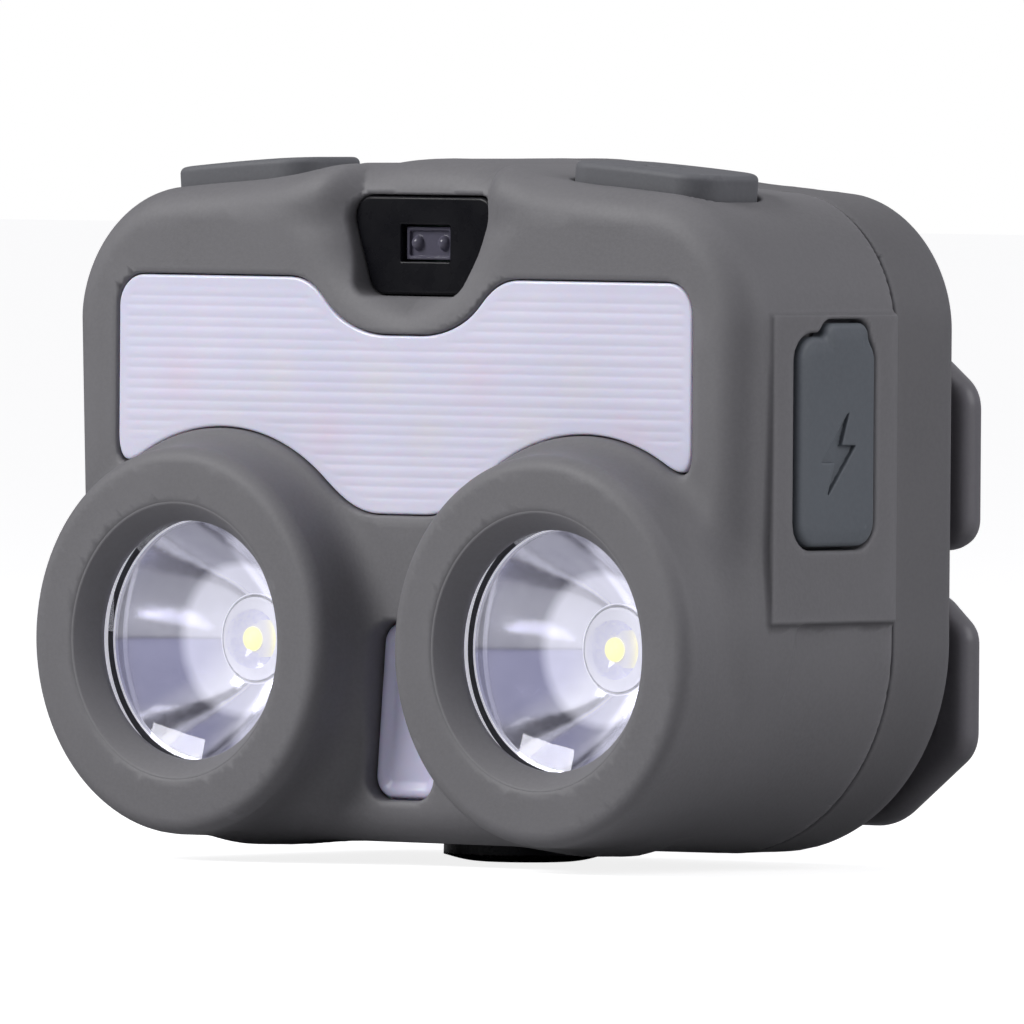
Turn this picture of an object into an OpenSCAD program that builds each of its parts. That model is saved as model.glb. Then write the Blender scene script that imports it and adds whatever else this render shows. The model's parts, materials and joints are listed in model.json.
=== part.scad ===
// Twin-spot headlamp: two spot lamps, a ribbed flood window, a hand-wave sensor, two top buttons,
// a covered charging port, a magnetic foot and a hinged strap bracket.
// The origin is the centre of the foot's lower face. +X is the wearer's left, -Y is forwards, +Z is up.

/* [Body] */
// Width of the body between its flat sides
body_w = 73; // [72.4:0.1:74]
// Height of the top shoulder at the middle of the body, above the foot's face
shoulder_z = 56.05; // [56:0.05:57]
// Distance from the front face to the foot's centre
foot_setback = 15.7; // [15.4:0.1:16]
// Depth of the front housing, from the front face to the split line
front_d = 19; // [18.8:0.1:19.4]
// Depth of the rear cover
rear_d = 8.9; // [8.7:0.1:9.5]
// Thickness of the walls
wall = 2; // [1.8:0.1:2.1]
// Rounding of the front and back edges
edge_r = 3; // [2.6:0.1:3.2]
// Radius of the two top corners
top_r = 10; // [9:0.5:11]
// Radius of the two bottom corners at the split line
low_r = 17.4; // [17.2:0.1:17.5]
// Radius of the slightly domed top
crown_r = 281; // [250:1:320]

/* [Spot lamps] */
// Distance between the axes of the two spot lamps
spot_gap = 39.1; // [38.8:0.1:39.4]
// Height of the spot lamps' axes
spot_z = 17.9; // [17.7:0.1:18.1]
// How far each barrel stands out of the front face
rim_h = 5.6; // [5.2:0.1:6]
// Radius of each barrel near its rim
barrel_r = 15.85; // [15.6:0.05:16]
// Radius of the clear opening in front of each lens
aperture_r = 9.8; // [9.6:0.1:9.9]
// Focal length of the reflectors
focal = 3.27; // [3.2:0.01:3.35]

/* [Windows] */
// Half width of the flood window
flood_half_w = 30.9; // [30:0.1:31]
// Height of the flood window's top edge
flood_top_z = 47.65; // [47:0.05:48]
// Height of the flood window's bottom edge, between the barrels
flood_low_z = 28.5; // [28:0.1:29]
// Height of the sensor panel's middle
sensor_z = 50.3; // [50:0.1:50.6]
// Depth of the sensor panel behind the front face
sensor_depth = 2.74; // [2.4:0.02:3]

/* [Buttons] */
// Distance of each button's centre from the middle
button_x = 21.35; // [21:0.05:21.6]
// Distance of the buttons' centres behind the front face
button_back = 8; // [7.6:0.1:8.4]
// Length of a button
button_l = 15; // [14:0.1:15.2]
// Width of a button
button_w = 9; // [8.4:0.1:9.2]
// How far the buttons stand above the top
button_h = 1.7; // [1.4:0.1:2]

/* [Charging port] */
// Height of the port's centre
port_z = 34.9; // [34.6:0.1:35.2]
// Distance of the port's centre behind the front face
port_back = 11.05; // [10.9:0.05:11.2]
// Thickness of the port's rubber flap
flap_t = 1.5; // [1.4:0.1:1.6]

/* [Strap bracket] */
// Half width of the bracket
bracket_half_w = 33.9; // [33:0.1:34.5]
// Height of the bracket's bottom edge
bracket_low_z = 3.2; // [3:0.1:3.6]
// Height of the bracket's top edge
bracket_top_z = 45.1; // [44:0.1:46]
// Thickness of the bracket
bracket_t = 2.8; // [2.6:0.1:3.2]
// Gap between the body's back and the bracket
bracket_gap = 3; // [2.9:0.1:3.4]
// Width of the strap that the slots take
strap_w = 25; // [20:1:26]

/* [Hidden] */

// The wearer's left is +X, so the left lamp is at +X.
left = 1;
right = -1;
// Facets of the casing's hulls and of what is turned into the casing
slice_fn = 40;
case_fn = 48;
// A small overlap that makes one solid of two, or takes a cut through a face
eps = 0.01;
over = 1;

front_y = -foot_setback;
split_y = front_y + front_d;
back_y = split_y + rear_d;
half_w = body_w / 2;
spot_x = spot_gap / 2;
floor_gap = 1.1;
low_x = half_w - low_r - 0.05;
low_z = floor_gap + low_r;
rim_round = 1.4;
loft_y = front_y - rim_h + rim_round;

// The bottom corners swell from the barrels' rims to the split line.
function loft(y) = (y - loft_y) / (split_y - loft_y);
function loft_r(y) = barrel_r + (low_r - barrel_r) * min(1, loft(y));
function loft_x(y) = spot_x + (low_x - spot_x) * min(1, loft(y));
function loft_z(y) = spot_z + (low_z - spot_z) * min(1, loft(y));
// Height of the domed top at x, away from the middle ridge
function crown(x) = shoulder_z - x * x / (2 * crown_r);

ridge_half_w = 7.2;
ridge_foot = 10.4;
ridge_h = 1.15;
pad_t = 0.35;
pad_low_z = 20.2;
pad_top_z = 45.2;
pad_front = 3.4;

// Barrel interior, as radius and height forwards of the front face
lens_seat_h = 3.1;
lip_h = 3.6;
rim_flat_r = 11.2;
lens_r = 10.8;
lens_t = 1.2;
mouth_h = lens_seat_h - lens_t - 0.1;
mouth_r = 9.75;
led_h = -4.5;
reflector_wall = 0.7;
hole_r = 3.6;
vertex_h = mouth_h - mouth_r * mouth_r / (4 * focal);
board_t = 1.6;
sink_t = 1.6;
sink_y = front_y - led_h + board_t;

window_gap = 0.12;
window_recess = 0.15;
window_r = 17.4;
window_flange = 1.1;
flood_board_y = -9.5;
main_board_y = -3.05;
pcb_t = 1;

cell_y = [0.6, 9.2];
cell_top_z = 42;
lead_r = 0.4;

post_x = 6.3;
post_z = [8.5, 24.9];
screw_x = 31.6;
screw_z = [13, 46.5];
screw_boss_r = 3;
screw_boss_l = 5.8;

tilt = asin(button_x / crown_r);
button_y = front_y + button_back;
button_gap = 0.15;

port_y = front_y + port_back;
flap_y = [port_y - 4.75, port_y + 4.75];
flap_z = [port_z - 8.4, port_z + 8.5];
tab_y = [port_y - 1.55, port_y + 3.95];
tab_h = 1.1;
flap_in_x = half_w - 0.75;
recess_x = flap_in_x - 0.35;
flap_round = 0.4;
flap_axis_z = flap_z[0] + flap_round;
flap_axis_x = flap_in_x + flap_t - flap_round;
flap_gap = 0.3;
socket_w = 8.94;
socket_t = 3.2;
socket_l = 7.3;

bracket_y = back_y + bracket_gap;
axis_y = bracket_y - 1;
axis_z = bracket_low_z + 2.2;
pin_r = 1;
ear_r = 2.3;
ear_x = [7.4, 11.4];
knuckle_r = 2.2;
knuckle_x = 7;
knuckle_h = 4.6;
knuckle_mid_z = axis_z + knuckle_h / 2 - knuckle_r;
slot_x = 25.4;
slot_w = 4.5;
bar_gap_z = [22.6, 25.8];

foot_r = 6.6;
foot_face_r = 4.5;
foot_flange = 0.9;
foot_flange_z = 3.4;

// ---- helpers ----

// Extrudes a flat shape, drawn in x and z, from y0 back to y1
module along_y(y0, y1) {
    translate([0, y1, 0]) rotate([90, 0, 0]) linear_extrude(y1 - y0) children();
}

// Extrudes a flat shape, drawn in y and z, from x0 to x1
module along_x(x0, x1) {
    translate([x0, 0, 0]) rotate([90, 0, 90]) linear_extrude(x1 - x0) children();
}

module disc_y(x, y, z, r, t, fn = 64) {
    translate([x, y, z]) rotate([-90, 0, 0]) cylinder(r = r, h = t, $fn = fn);
}

// A rectangle centred on the origin with round corners
module round_rect(w, h, r) {
    square([w - 2 * r, h], center = true);
    square([w, h - 2 * r], center = true);
    for (sx = [-1, 1], sy = [-1, 1])
        translate([sx * (w / 2 - r), sy * (h / 2 - r)]) circle(r = r, $fn = 48);
}

// The same outline as one hull, for the holes in the casing
module soft_rect(w, h, r) {
    hull() for (sx = [-1, 1], sy = [-1, 1])
        translate([sx * (w / 2 - r), sy * (h / 2 - r)]) circle(r = r, $fn = 32);
}

// Turns a profile of radius and forward height about a spot lamp's axis
module turned(side, fn = 96) {
    translate([side * spot_x, front_y, spot_z]) rotate([90, 0, 0]) rotate_extrude($fn = fn) children();
}

// The body's corner rounds from y0 back to y1, for a hull: drawn in by inset from their size at y
module slice(y0, y1, inset, y) {
    for (x = [-1, -0.5, 0, 0.5, 1] * (half_w - top_r))
        disc_y(x, y0, crown(x) - top_r, top_r - inset, y1 - y0, slice_fn);
    for (s = [-1, 1]) disc_y(s * loft_x(y), y0, loft_z(y), loft_r(y) - inset, y1 - y0, slice_fn);
}

// The places of a button: its frame's z is 0 on the domed top and follows the slope there
module at_button(side) {
    translate([side * button_x, button_y, crown(button_x)]) rotate([0, side * tilt, 0]) children();
}

// The ridge along the middle of the top
module top_ridge(y0, y1) {
    top = shoulder_z + ridge_h;
    along_y(y0, y1)
        polygon([[-ridge_foot, shoulder_z - 2.5], [-ridge_foot, crown(ridge_foot)], [-ridge_half_w, top],
            [0, top + 0.2], [ridge_half_w, top], [ridge_foot, crown(ridge_foot)],
            [ridge_foot, shoulder_z - 2.5]]);
}

// The flood window's outline, with its sharp corners rounded
module flood_outline(grow) {
    offset(delta = grow) offset(r = -1.6, $fn = 32) offset(delta = 1.6) offset(r = 1.5, $fn = 32)
        offset(delta = -1.5) difference() {
            translate([-flood_half_w, flood_low_z]) square([2 * flood_half_w, flood_top_z - flood_low_z]);
            for (s = [-1, 1]) translate([s * spot_x, spot_z]) circle(r = window_r, $fn = 96);
            polygon([[-5.6, 43], [5.6, 43], [9.6, 46.6], [11, flood_top_z + 1],
                [-11, flood_top_z + 1], [-9.6, 46.6]]);
        }
}

// The lower window's outline, a little wider at the bottom
module lower_outline(grow) {
    offset(r = 1.2 + grow, $fn = 24)
        polygon([[-0.9, 17.9], [0.9, 17.9], [1.7, 7.2], [-1.7, 7.2]]);
}

// The sensor panel's outline, a trapezoid that is narrower at the bottom
module panel_outline(grow) {
    offset(r = 2.4 + grow, $fn = 32)
        polygon([[-5.1, sensor_z + 1.6], [5.1, sensor_z + 1.6], [3.4, sensor_z - 1.6],
            [-3.4, sensor_z - 1.6]]);
}

// ---- casing ----

module front_housing() {
    color([0.42, 0.42, 0.44]) difference() {
        union() {
            difference() {
                union() {
                    front_block();
                    for (s = [-1, 1]) barrel(s);
                    top_ridge(front_y + 1.6, split_y);
                    side_pad();
                    barrel_flares();
                }
                hull() {
                    slice(front_y + wall, split_y, wall, front_y + wall);
                    slice(split_y, split_y + over, wall, split_y);
                }
            }
            front_bosses();
        }
        for (s = [-1, 1]) turned(s, case_fn) barrel_inside();
        along_y(front_y - over, front_y + wall + over) flood_outline(window_gap);
        along_y(front_y + wall - 0.03, front_y + wall + 1) flood_outline(window_flange + 0.12);
        along_y(front_y - over, front_y + 1.1) lower_outline(0.9);
        along_y(front_y, front_y + wall + over) lower_outline(window_gap);
        sensor_dish();
        along_y(front_y, front_y + 6) panel_outline(0.1);
        for (s = [-1, 1]) at_button(s) button_hole();
        flap_recess();
        foot_hole();
        for (x = [-1, 1] * screw_x, z = screw_z) disc_y(x, split_y - 5, z, 1.05, 5 + over, 24);
        for (x = [-1, 1] * post_x, z = post_z) disc_y(x, sink_y - 3.4, z, 0.75, 3.4 + over, 24);
        along_y(split_y - 1, split_y + over) seal_outline(1);
    }
}

module front_block() {
    hull() {
        for (a = [0:22.5:90]) {
            y = front_y + edge_r * (1 - cos(a));
            slice(y, split_y - 2, edge_r * (1 - sin(a)), y);
        }
        slice(split_y - 1, split_y, 0, split_y);
    }
}

// One barrel: a cone that leans and swells from its rim back to the body's bottom corner
module barrel(s) {
    y = front_y + 2 * edge_r;
    hull() {
        turned(s, case_fn) {
            square([barrel_r - rim_round, rim_h]);
            translate([barrel_r - rim_round, rim_h - rim_round]) circle(r = rim_round, $fn = 24);
        }
        disc_y(s * loft_x(y), y - 1, loft_z(y), loft_r(y) - 0.15, 1, case_fn);
    }
}

// The lens seat, the open front and the groove that keeps the barrel's wall even
module barrel_inside() {
    cavity_h = -wall - 0.5;
    polygon([[0, cavity_h], [lens_r + 0.05, cavity_h], [lens_r + 0.05, lens_seat_h],
        [aperture_r, lens_seat_h], [aperture_r, lip_h], [rim_flat_r, rim_h], [rim_flat_r, rim_h + over],
        [0, rim_h + over]]);
    translate([lens_r + 1.5, cavity_h]) square([1.5, lip_h - 1 - cavity_h]);
}

// Small fillets where the barrels leave the front face, inside and above but not past its corners
module barrel_flares() {
    base_r = loft_r(front_y) - 0.1;
    fillet = [[0, -0.4], [1.35, -0.4], [1.35, -0.05], [0.75, 0.18], [0.3, 0.55], [0, 1.2]];
    intersection() {
        for (s = [-1, 1]) turned(s, case_fn) translate([base_r, 0]) polygon(fillet);
        union() {
            translate([-spot_x, front_y - 3, 6.2]) cube([2 * spot_x, 3.35, 40]);
            translate([-32.6, front_y - 3, 26]) cube([65.2, 3.35, 20]);
        }
    }
}

module side_pad() {
    translate([half_w - 1.2, front_y + pad_front, pad_low_z])
        cube([1.2 + pad_t, front_d - pad_front, pad_top_z - pad_low_z]);
}

module front_bosses() {
    // Posts that the case screws drive into
    for (s = [-1, 1], z = screw_z) screw_post(s, z, split_y - screw_boss_l, screw_boss_l);
    // Posts that carry the heat sink
    for (x = [-1, 1] * post_x, z = post_z)
        disc_y(x, front_y + wall - 0.5, z, 1.8, sink_y - front_y - wall + 0.5, 24);
    // Posts that carry the two button boards
    for (s = [-1, 1], x = [-9.9, 9.9])
        at_button(s) translate([x, 0, -7.2]) cylinder(r = 1.2, h = 6, $fn = 32);
    // Thicker wall behind the sensor panel
    translate([-9.6, front_y + wall - 0.5, sensor_z - 5.8]) cube([19.2, 2.4, 10.6]);
    // Thicker wall behind the charging port
    translate([half_w - 3.4, flap_y[0] - 1, flap_z[0] - 1.2]) cube([1.6, 11.5, 3.4]);
}

// A post for a case screw, joined to the side wall
module screw_post(s, z, y, l) {
    hull() {
        disc_y(s * screw_x, y, z, screw_boss_r, l, 24);
        disc_y(s * (screw_x + 1), y, z, screw_boss_r - 1, l, 24);
    }
}

// The hollow that slopes in to the sensor panel and is open at the top
module sensor_dish() {
    y = front_y + sensor_depth;
    hull() {
        along_y(front_y - 0.6, y) polygon([[-8, 60], [-8, 52.2], [-6.6, 47.4], [-4.4, 45.6],
            [4.4, 45.6], [6.6, 47.4], [8, 52.2], [8, 60]]);
        along_y(front_y - 1.4, front_y - 0.3) polygon([[-13, 60], [-13, 54], [-9.8, 47.6], [-5, 43.8],
            [5, 43.8], [9.8, 47.6], [13, 54], [13, 60]]);
    }
}

module button_hole() {
    translate([0, 0, -4]) linear_extrude(7) soft_rect(button_l + 2 * button_gap,
        button_w + 2 * button_gap, 3 + button_gap);
}

module flap_recess() {
    mid_y = (flap_y[0] + flap_y[1]) / 2;
    mid_z = (flap_z[0] + flap_z[1]) / 2;
    along_x(recess_x, half_w + over) {
        translate([mid_y, mid_z]) soft_rect(flap_y[1] - flap_y[0] + 2 * flap_gap,
            flap_z[1] - flap_z[0] + 2 * flap_gap, 2 + flap_gap);
        translate([tab_y[0] - flap_gap, mid_z])
            square([tab_y[1] - tab_y[0] + 2 * flap_gap, flap_z[1] + tab_h + flap_gap - mid_z]);
    }
    along_x(half_w - 5, half_w) translate([port_y, port_z])
        soft_rect(socket_t + 0.2, socket_w + 0.2, 1.6);
}

// The hole that the foot stands in, wider where the foot's flange lies
module foot_hole() {
    translate([0, 0, -over]) cylinder(r = foot_r + 0.1, h = 5 + over, $fn = case_fn);
    translate([0, 0, foot_flange_z - 0.05]) cylinder(r = foot_r + foot_flange + 0.1, h = 2, $fn = case_fn);
}

// The outline at the split line, drawn in by inset
module seal_outline(inset) {
    hull() {
        for (x = [-1, -0.5, 0, 0.5, 1] * (half_w - top_r))
            translate([x, crown(x) - top_r]) circle(r = top_r - inset, $fn = 48);
        for (s = [-1, 1]) translate([s * low_x, low_z]) circle(r = low_r - inset, $fn = 48);
    }
}

module rear_cover() {
    color([0.36, 0.36, 0.38]) difference() {
        union() {
            difference() {
                union() {
                    hull() for (a = [0:22.5:90])
                        slice(split_y, back_y - edge_r * (1 - cos(a)), edge_r * (1 - sin(a)), split_y);
                    top_ridge(split_y, back_y - 1.6);
                }
                hull() slice(split_y - over, back_y - wall, wall, split_y);
            }
            for (s = [-1, 1], z = screw_z) screw_post(s, z, split_y, back_y - 1 - split_y);
        }
        for (x = [-1, 1] * screw_x, z = screw_z) {
            disc_y(x, split_y - over, z, 1.2, rear_d + 2 * over, 24);
            disc_y(x, back_y - 2.2, z, 2.1, 2.2 + over, 24);
        }
        for (s = [-1, 1]) ear_pocket(s);
        along_y(back_y - wall - over, back_y + over) translate([0, knuckle_mid_z])
            soft_rect(2 * knuckle_x + 0.1, knuckle_h + 0.1, 0.6);
        foot_hole();
    }
}

// A cylinder along x about the bracket's hinge axis
module disc_x(x0, x1, r, fn = 64) {
    translate([x0, axis_y, axis_z]) rotate([0, 90, 0]) cylinder(r = r, h = x1 - x0, $fn = fn);
}

// Hollows in the cover's back that let the bracket's ears turn
module ear_pocket(s) {
    x0 = s > 0 ? knuckle_x - over : -ear_x[1] - 0.4;
    hull() disc_x(x0, x0 + ear_x[1] + 0.4 + over - knuckle_x, ear_r + 0.4, 32);
}

// The fixed knuckle of the bracket's hinge, with a flange behind the cover's back wall
module hinge_knuckle() {
    y_in = back_y - wall;
    color([0.36, 0.36, 0.38]) difference() {
        union() {
            disc_x(-knuckle_x, knuckle_x, knuckle_r);
            along_y(y_in, axis_y) translate([0, knuckle_mid_z])
                round_rect(2 * knuckle_x, knuckle_h, 0.55);
            translate([-9, y_in - 0.85, floor_gap + wall + 0.3]) cube([18, 0.85 - eps, 8]);
            translate([-knuckle_x, y_in - 0.1, axis_z - 1]) cube([2 * knuckle_x, 1, 3]);
        }
        disc_x(-knuckle_x - over, knuckle_x + over, pin_r + 0.05);
    }
}

// The seal stops on both sides of the foot, which closes its own hole
module housing_seal() {
    color([0.15, 0.15, 0.16]) along_y(split_y - 0.98, split_y) difference() {
        seal_outline(1.05);
        seal_outline(1.95);
        square([2 * (foot_r + foot_flange + 0.2), 12], center = true);
    }
}

module case_screws() {
    color("silver") for (x = [-1, 1] * screw_x, z = screw_z) difference() {
        union() {
            disc_y(x, back_y - 2.15, z, 1.9, 1.3, 32);
            disc_y(x, split_y - 4.6, z, 1, rear_d + 3, 32);
        }
        disc_y(x, back_y - 1.5, z, 0.9, 1, 6);
    }
}

module magnet_foot() {
    color([0.06, 0.06, 0.07]) rotate_extrude($fn = 96) difference() {
        union() {
            intersection() {
                square([foot_r, foot_flange_z]);
                polygon([[0, 0], [foot_face_r, 0], [foot_r - 0.5, 0.45], [foot_r, 1], [foot_r, 4], [0, 4]]);
            }
            translate([0, foot_flange_z]) square([foot_r + foot_flange, 0.8]);
        }
        translate([0, 0.9]) square([5.05, 4]);
    }
}

module foot_magnet() {
    color("silver") translate([0, 0, 0.9]) cylinder(r = 5, h = 3, $fn = 64);
}

// ---- spot lamps ----

module spot_lens(side) {
    color([0.9, 0.93, 1, 0.4]) turned(side) translate([0, lens_seat_h - lens_t]) square([lens_r, lens_t]);
}

module lens_seal(side) {
    color([0.12, 0.12, 0.13]) turned(side) translate([mouth_r + 0.2, mouth_h - 0.5])
        square([lens_r - mouth_r - 0.2, 0.6]);
}

// The reflector's curve at step k of 10, from its hole out to its mouth, moved out by grow
function bowl(k, grow) = let (r = hole_r + (mouth_r - hole_r) * k / 10)
    [r + grow, vertex_h + r * r / (4 * focal)];

module spot_reflector(side) {
    lip_r = mouth_r + 0.15;
    inner = [for (k = [0:10]) bowl(k, 0)];
    outer = [for (k = [8:-1:0]) bowl(k, reflector_wall)];
    flange = [[lip_r, mouth_h], [lip_r, mouth_h - 0.5], [lens_r, mouth_h - 0.5],
        [lens_r, mouth_h - 1.2]];
    color([0.85, 0.86, 0.9]) turned(side) polygon(concat(inner, flange, outer));
}

module spot_led(side) {
    color([0.95, 0.95, 0.88]) turned(side) {
        translate([0, led_h]) square([3.4, 0.3]);
        translate([0, led_h]) square([2.5, 1.9]);
        translate([0, led_h]) square([2.1, 2.3]);
    }
}

module spot_board(side) {
    color([0.85, 0.85, 0.85]) turned(side) translate([0, led_h - board_t]) square([8, board_t - eps]);
}

module heat_sink() {
    color([0.7, 0.71, 0.73]) difference() {
        union() {
            translate([-28, sink_y, 6.6]) cube([56, sink_t, 20.6]);
            for (x = [-18:6:18]) translate([x - 0.5, sink_y + sink_t - eps, 10.6])
                cube([1, 2.6, 11.4]);
        }
        for (x = [-1, 1] * post_x, z = post_z) disc_y(x, sink_y - over, z, 1.1, 6, 32);
    }
}

module heat_sink_screws() {
    color("silver") for (x = [-1, 1] * post_x, z = post_z) {
        disc_y(x, sink_y + sink_t, z, 1.5, 0.9, 32);
        disc_y(x, sink_y - 2.8, z, 0.7, 2.8 + sink_t + eps, 32);
    }
}

// Two-wire leads from each spot board up to the main board, a little thicker at their bends
module spot_leads() {
    y_out = sink_y + sink_t + 1.2;
    low_z = 27.8;
    high_z = 31;
    color("firebrick") for (x = [-1, 1] * spot_x, dx = [-1.2, 1.2]) translate([x + dx, 0, 0]) {
        translate([0, y_out, low_z]) cylinder(r = lead_r, h = high_z - low_z, $fn = 24);
        for (z = [low_z, high_z]) translate([0, y_out, z]) sphere(r = lead_r + 0.06, $fn = 24);
        disc_y(0, y_out, high_z, lead_r, main_board_y - y_out, 24);
        disc_y(0, sink_y - 0.6, low_z, lead_r, y_out - sink_y + 0.6, 24);
    }
}

// ---- windows ----

module flood_diffuser() {
    color([0.83, 0.82, 0.93]) {
        along_y(front_y + window_recess, front_y + wall + 0.1) flood_outline(0);
        along_y(front_y + wall + 0.02, front_y + wall + 0.9) flood_outline(window_flange);
    }
}

module lower_window() {
    color([0.67, 0.66, 0.82]) {
        along_y(front_y + 1.15, front_y + wall + 0.1) lower_outline(0);
        along_y(front_y + wall + 0.02, front_y + wall + 0.8) lower_outline(0.8);
    }
}

// The area that the flood lamp's frame and board share
module flood_area(inset) {
    intersection() {
        translate([-29.6 + inset, 29.4 + inset]) square([59.2 - 2 * inset, 15 - 2 * inset]);
        translate([0, 26]) circle(r = 34 - inset, $fn = 96);
    }
}

module flood_frame() {
    color("white") along_y(front_y + wall + 0.95, flood_board_y - eps) difference() {
        flood_area(0.4);
        flood_area(1.4);
        for (s = [-1, 1]) translate([s * spot_x, spot_z]) circle(r = 11.6, $fn = 64);
    }
}

module flood_board() {
    color([0.94, 0.94, 0.92]) along_y(flood_board_y, flood_board_y + pcb_t) flood_area(0);
}

// White and red emitters in two rows
module flood_leds() {
    for (k = [0:9]) {
        x = -24.3 + 5.4 * k;
        z = k % 2 == 0 ? 39.5 : 35;
        color(k % 3 == 0 ? "tomato" : "khaki") translate([x - 1.4, flood_board_y - 0.8, z - 1.4])
            cube([2.8, 0.8 - eps, 2.8]);
    }
}

module status_board() {
    color([0.94, 0.94, 0.92]) translate([-3.2, sink_y - 1, 8.5]) cube([6.4, 1 - eps, 11]);
}

module status_leds() {
    color("khaki") for (z = [10, 13.5, 17])
        translate([-1, sink_y - 1.7, z - 0.6]) cube([2, 0.7 - eps, 1.2]);
}

module sensor_panel() {
    y = front_y + sensor_depth;
    color([0.05, 0.05, 0.06]) along_y(y, y + 1.2) difference() {
        panel_outline(0);
        translate([0.1, sensor_z + 0.2]) square([5.4, 3.1], center = true);
    }
}

module ir_sensor() {
    y = front_y + sensor_depth + 0.6;
    color([0.35, 0.33, 0.38]) {
        translate([-2.45, y, sensor_z - 1.2]) cube([5.1, 1.9, 2.8]);
        for (x = [-1.35, 1.45]) translate([x + 0.05, y, sensor_z + 0.2]) intersection() {
            sphere(r = 0.8, $fn = 48);
            translate([-1, -0.5, -1]) cube([2, 1, 2]);
        }
    }
}

module sensor_board() {
    color("darkgreen") translate([-7, front_y + sensor_depth + 2.5 + eps, sensor_z - 2.2])
        cube([14, pcb_t, 5.2]);
}

// ---- electronics ----

module main_board() {
    color("darkgreen") along_y(main_board_y, main_board_y + pcb_t) {
        translate([-28, 7]) square([56, 38]);
        translate([27, port_z - 5]) square([4.4, 10]);
    }
}

module board_components() {
    y = main_board_y;
    color([0.12, 0.12, 0.13]) {
        translate([-15, y - 1.2, 36]) cube([6, 1.2 - eps, 6]);
        translate([8, y - 2.5, 36]) cube([5, 2.5 - eps, 5]);
        translate([-4, y - 0.9, 38]) cube([5, 0.9 - eps, 4]);
        for (x = [-14:4:14]) translate([x - 0.5, y - 0.6, 30.5]) cube([1, 0.6 - eps, 1.6]);
    }
}

module board_spacers() {
    color("gold") for (x = [-24, 24]) {
        disc_y(x, flood_board_y + pcb_t + eps, 42, 1.5, main_board_y - flood_board_y - pcb_t - 2 * eps, 32);
        disc_y(x, sink_y + sink_t + eps, 12, 1.5, main_board_y - sink_y - sink_t - 2 * eps, 32);
    }
}

module usb_socket() {
    color([0.75, 0.76, 0.78]) translate([0, port_y, port_z]) {
        along_x(recess_x - socket_l, recess_x) difference() {
            round_rect(socket_t, socket_w, 1.55);
            round_rect(socket_t - 0.6, socket_w - 0.6, 1.25);
        }
        along_x(recess_x - socket_l, recess_x - socket_l + 0.8) round_rect(socket_t, socket_w, 1.55);
        translate([recess_x - socket_l, -0.35, -3.3]) cube([socket_l - 1.2, 0.7, 6.6]);
    }
}

module usb_flap() {
    mid_y = (flap_y[0] + flap_y[1]) / 2;
    mid_z = (flap_z[0] + flap_z[1]) / 2;
    color([0.35, 0.38, 0.41]) {
        intersection() {
            along_x(flap_in_x, flap_in_x + flap_t) {
                translate([mid_y, mid_z])
                    round_rect(flap_y[1] - flap_y[0], flap_z[1] - flap_z[0], 2);
                translate([tab_y[0], mid_z])
                    square([tab_y[1] - tab_y[0], flap_z[1] + tab_h - mid_z]);
            }
            union() {
                translate([flap_in_x - over, flap_y[0] - over, flap_axis_z])
                    cube([flap_t + 2 * over, 12, 20]);
                translate([flap_in_x - over, flap_y[0] - over, flap_z[0] - over])
                    cube([flap_axis_x - flap_in_x + over, 12, 3]);
                translate([flap_axis_x, flap_y[0] - over, flap_axis_z]) rotate([-90, 0, 0])
                    cylinder(r = flap_round, h = 12, $fn = 48);
            }
        }
        along_x(flap_in_x - 0.85, flap_in_x + eps) translate([port_y, port_z])
            round_rect(1.9, 7.6, 0.94);
    }
}

// ---- buttons ----

module button(side) {
    color([0.38, 0.38, 0.4]) at_button(side) {
        translate([0, 0, -2.35]) linear_extrude(2.35 + button_h - 0.6)
            round_rect(button_l, button_w, 3);
        hull() {
            translate([0, 0, button_h - 0.61]) linear_extrude(0.02) round_rect(button_l, button_w, 3);
            translate([0, 0, button_h - 0.18]) linear_extrude(0.02)
                round_rect(button_l - 0.36, button_w - 0.36, 2.8);
            translate([0, 0, button_h - 0.02]) linear_extrude(0.02)
                round_rect(button_l - 1.2, button_w - 1.2, 2.4);
        }
        translate([0, 0, -3.5]) linear_extrude(0.9) round_rect(button_l + 1.2, button_w + 1.2, 3.6);
        translate([0, 0, -4.3]) cylinder(r = 1.5, h = 1, $fn = 32);
    }
}

module switch_plunger(side) {
    color([0.1, 0.1, 0.1]) at_button(side) translate([0, 0, -5.6]) cylinder(r = 0.9, h = 1.3, $fn = 32);
}

module tact_switch(side) {
    color("silver") at_button(side) difference() {
        translate([-2.3, -2.3, -7.2]) cube([4.6, 4.6, 2.2]);
        translate([0, 0, -6.4]) cylinder(r = 0.95, h = 2, $fn = 32);
    }
}

module button_board(side) {
    color("darkgreen") at_button(side) translate([-11, -4.2, -8.2 - eps]) cube([22, 8.4, pcb_t]);
}

// ---- battery ----

module battery_cell() {
    color([0.75, 0.76, 0.8]) translate([-27, cell_y[0], 8])
        cube([54, cell_y[1] - cell_y[0], cell_top_z - 8]);
}

module battery_pad() {
    pad_y = cell_y[1] + eps;
    color([0.2, 0.2, 0.22]) translate([-18, pad_y, 14]) cube([36, back_y - wall - pad_y - 0.03, 22]);
}

module battery_leads() {
    y_mid = 3;
    y_board = main_board_y + pcb_t + eps;
    bend_z = 43.8;
    for (x = [-2, 2]) color(x < 0 ? "black" : "red") translate([x, y_mid, 0]) {
        translate([0, 0, cell_top_z + eps]) cylinder(r = 0.55, h = bend_z - cell_top_z, $fn = 24);
        translate([0, 0, bend_z]) sphere(r = 0.65, $fn = 24);
        disc_y(0, y_board - y_mid, bend_z, 0.55, y_mid - y_board, 24);
    }
}

// ---- strap bracket ----

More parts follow.
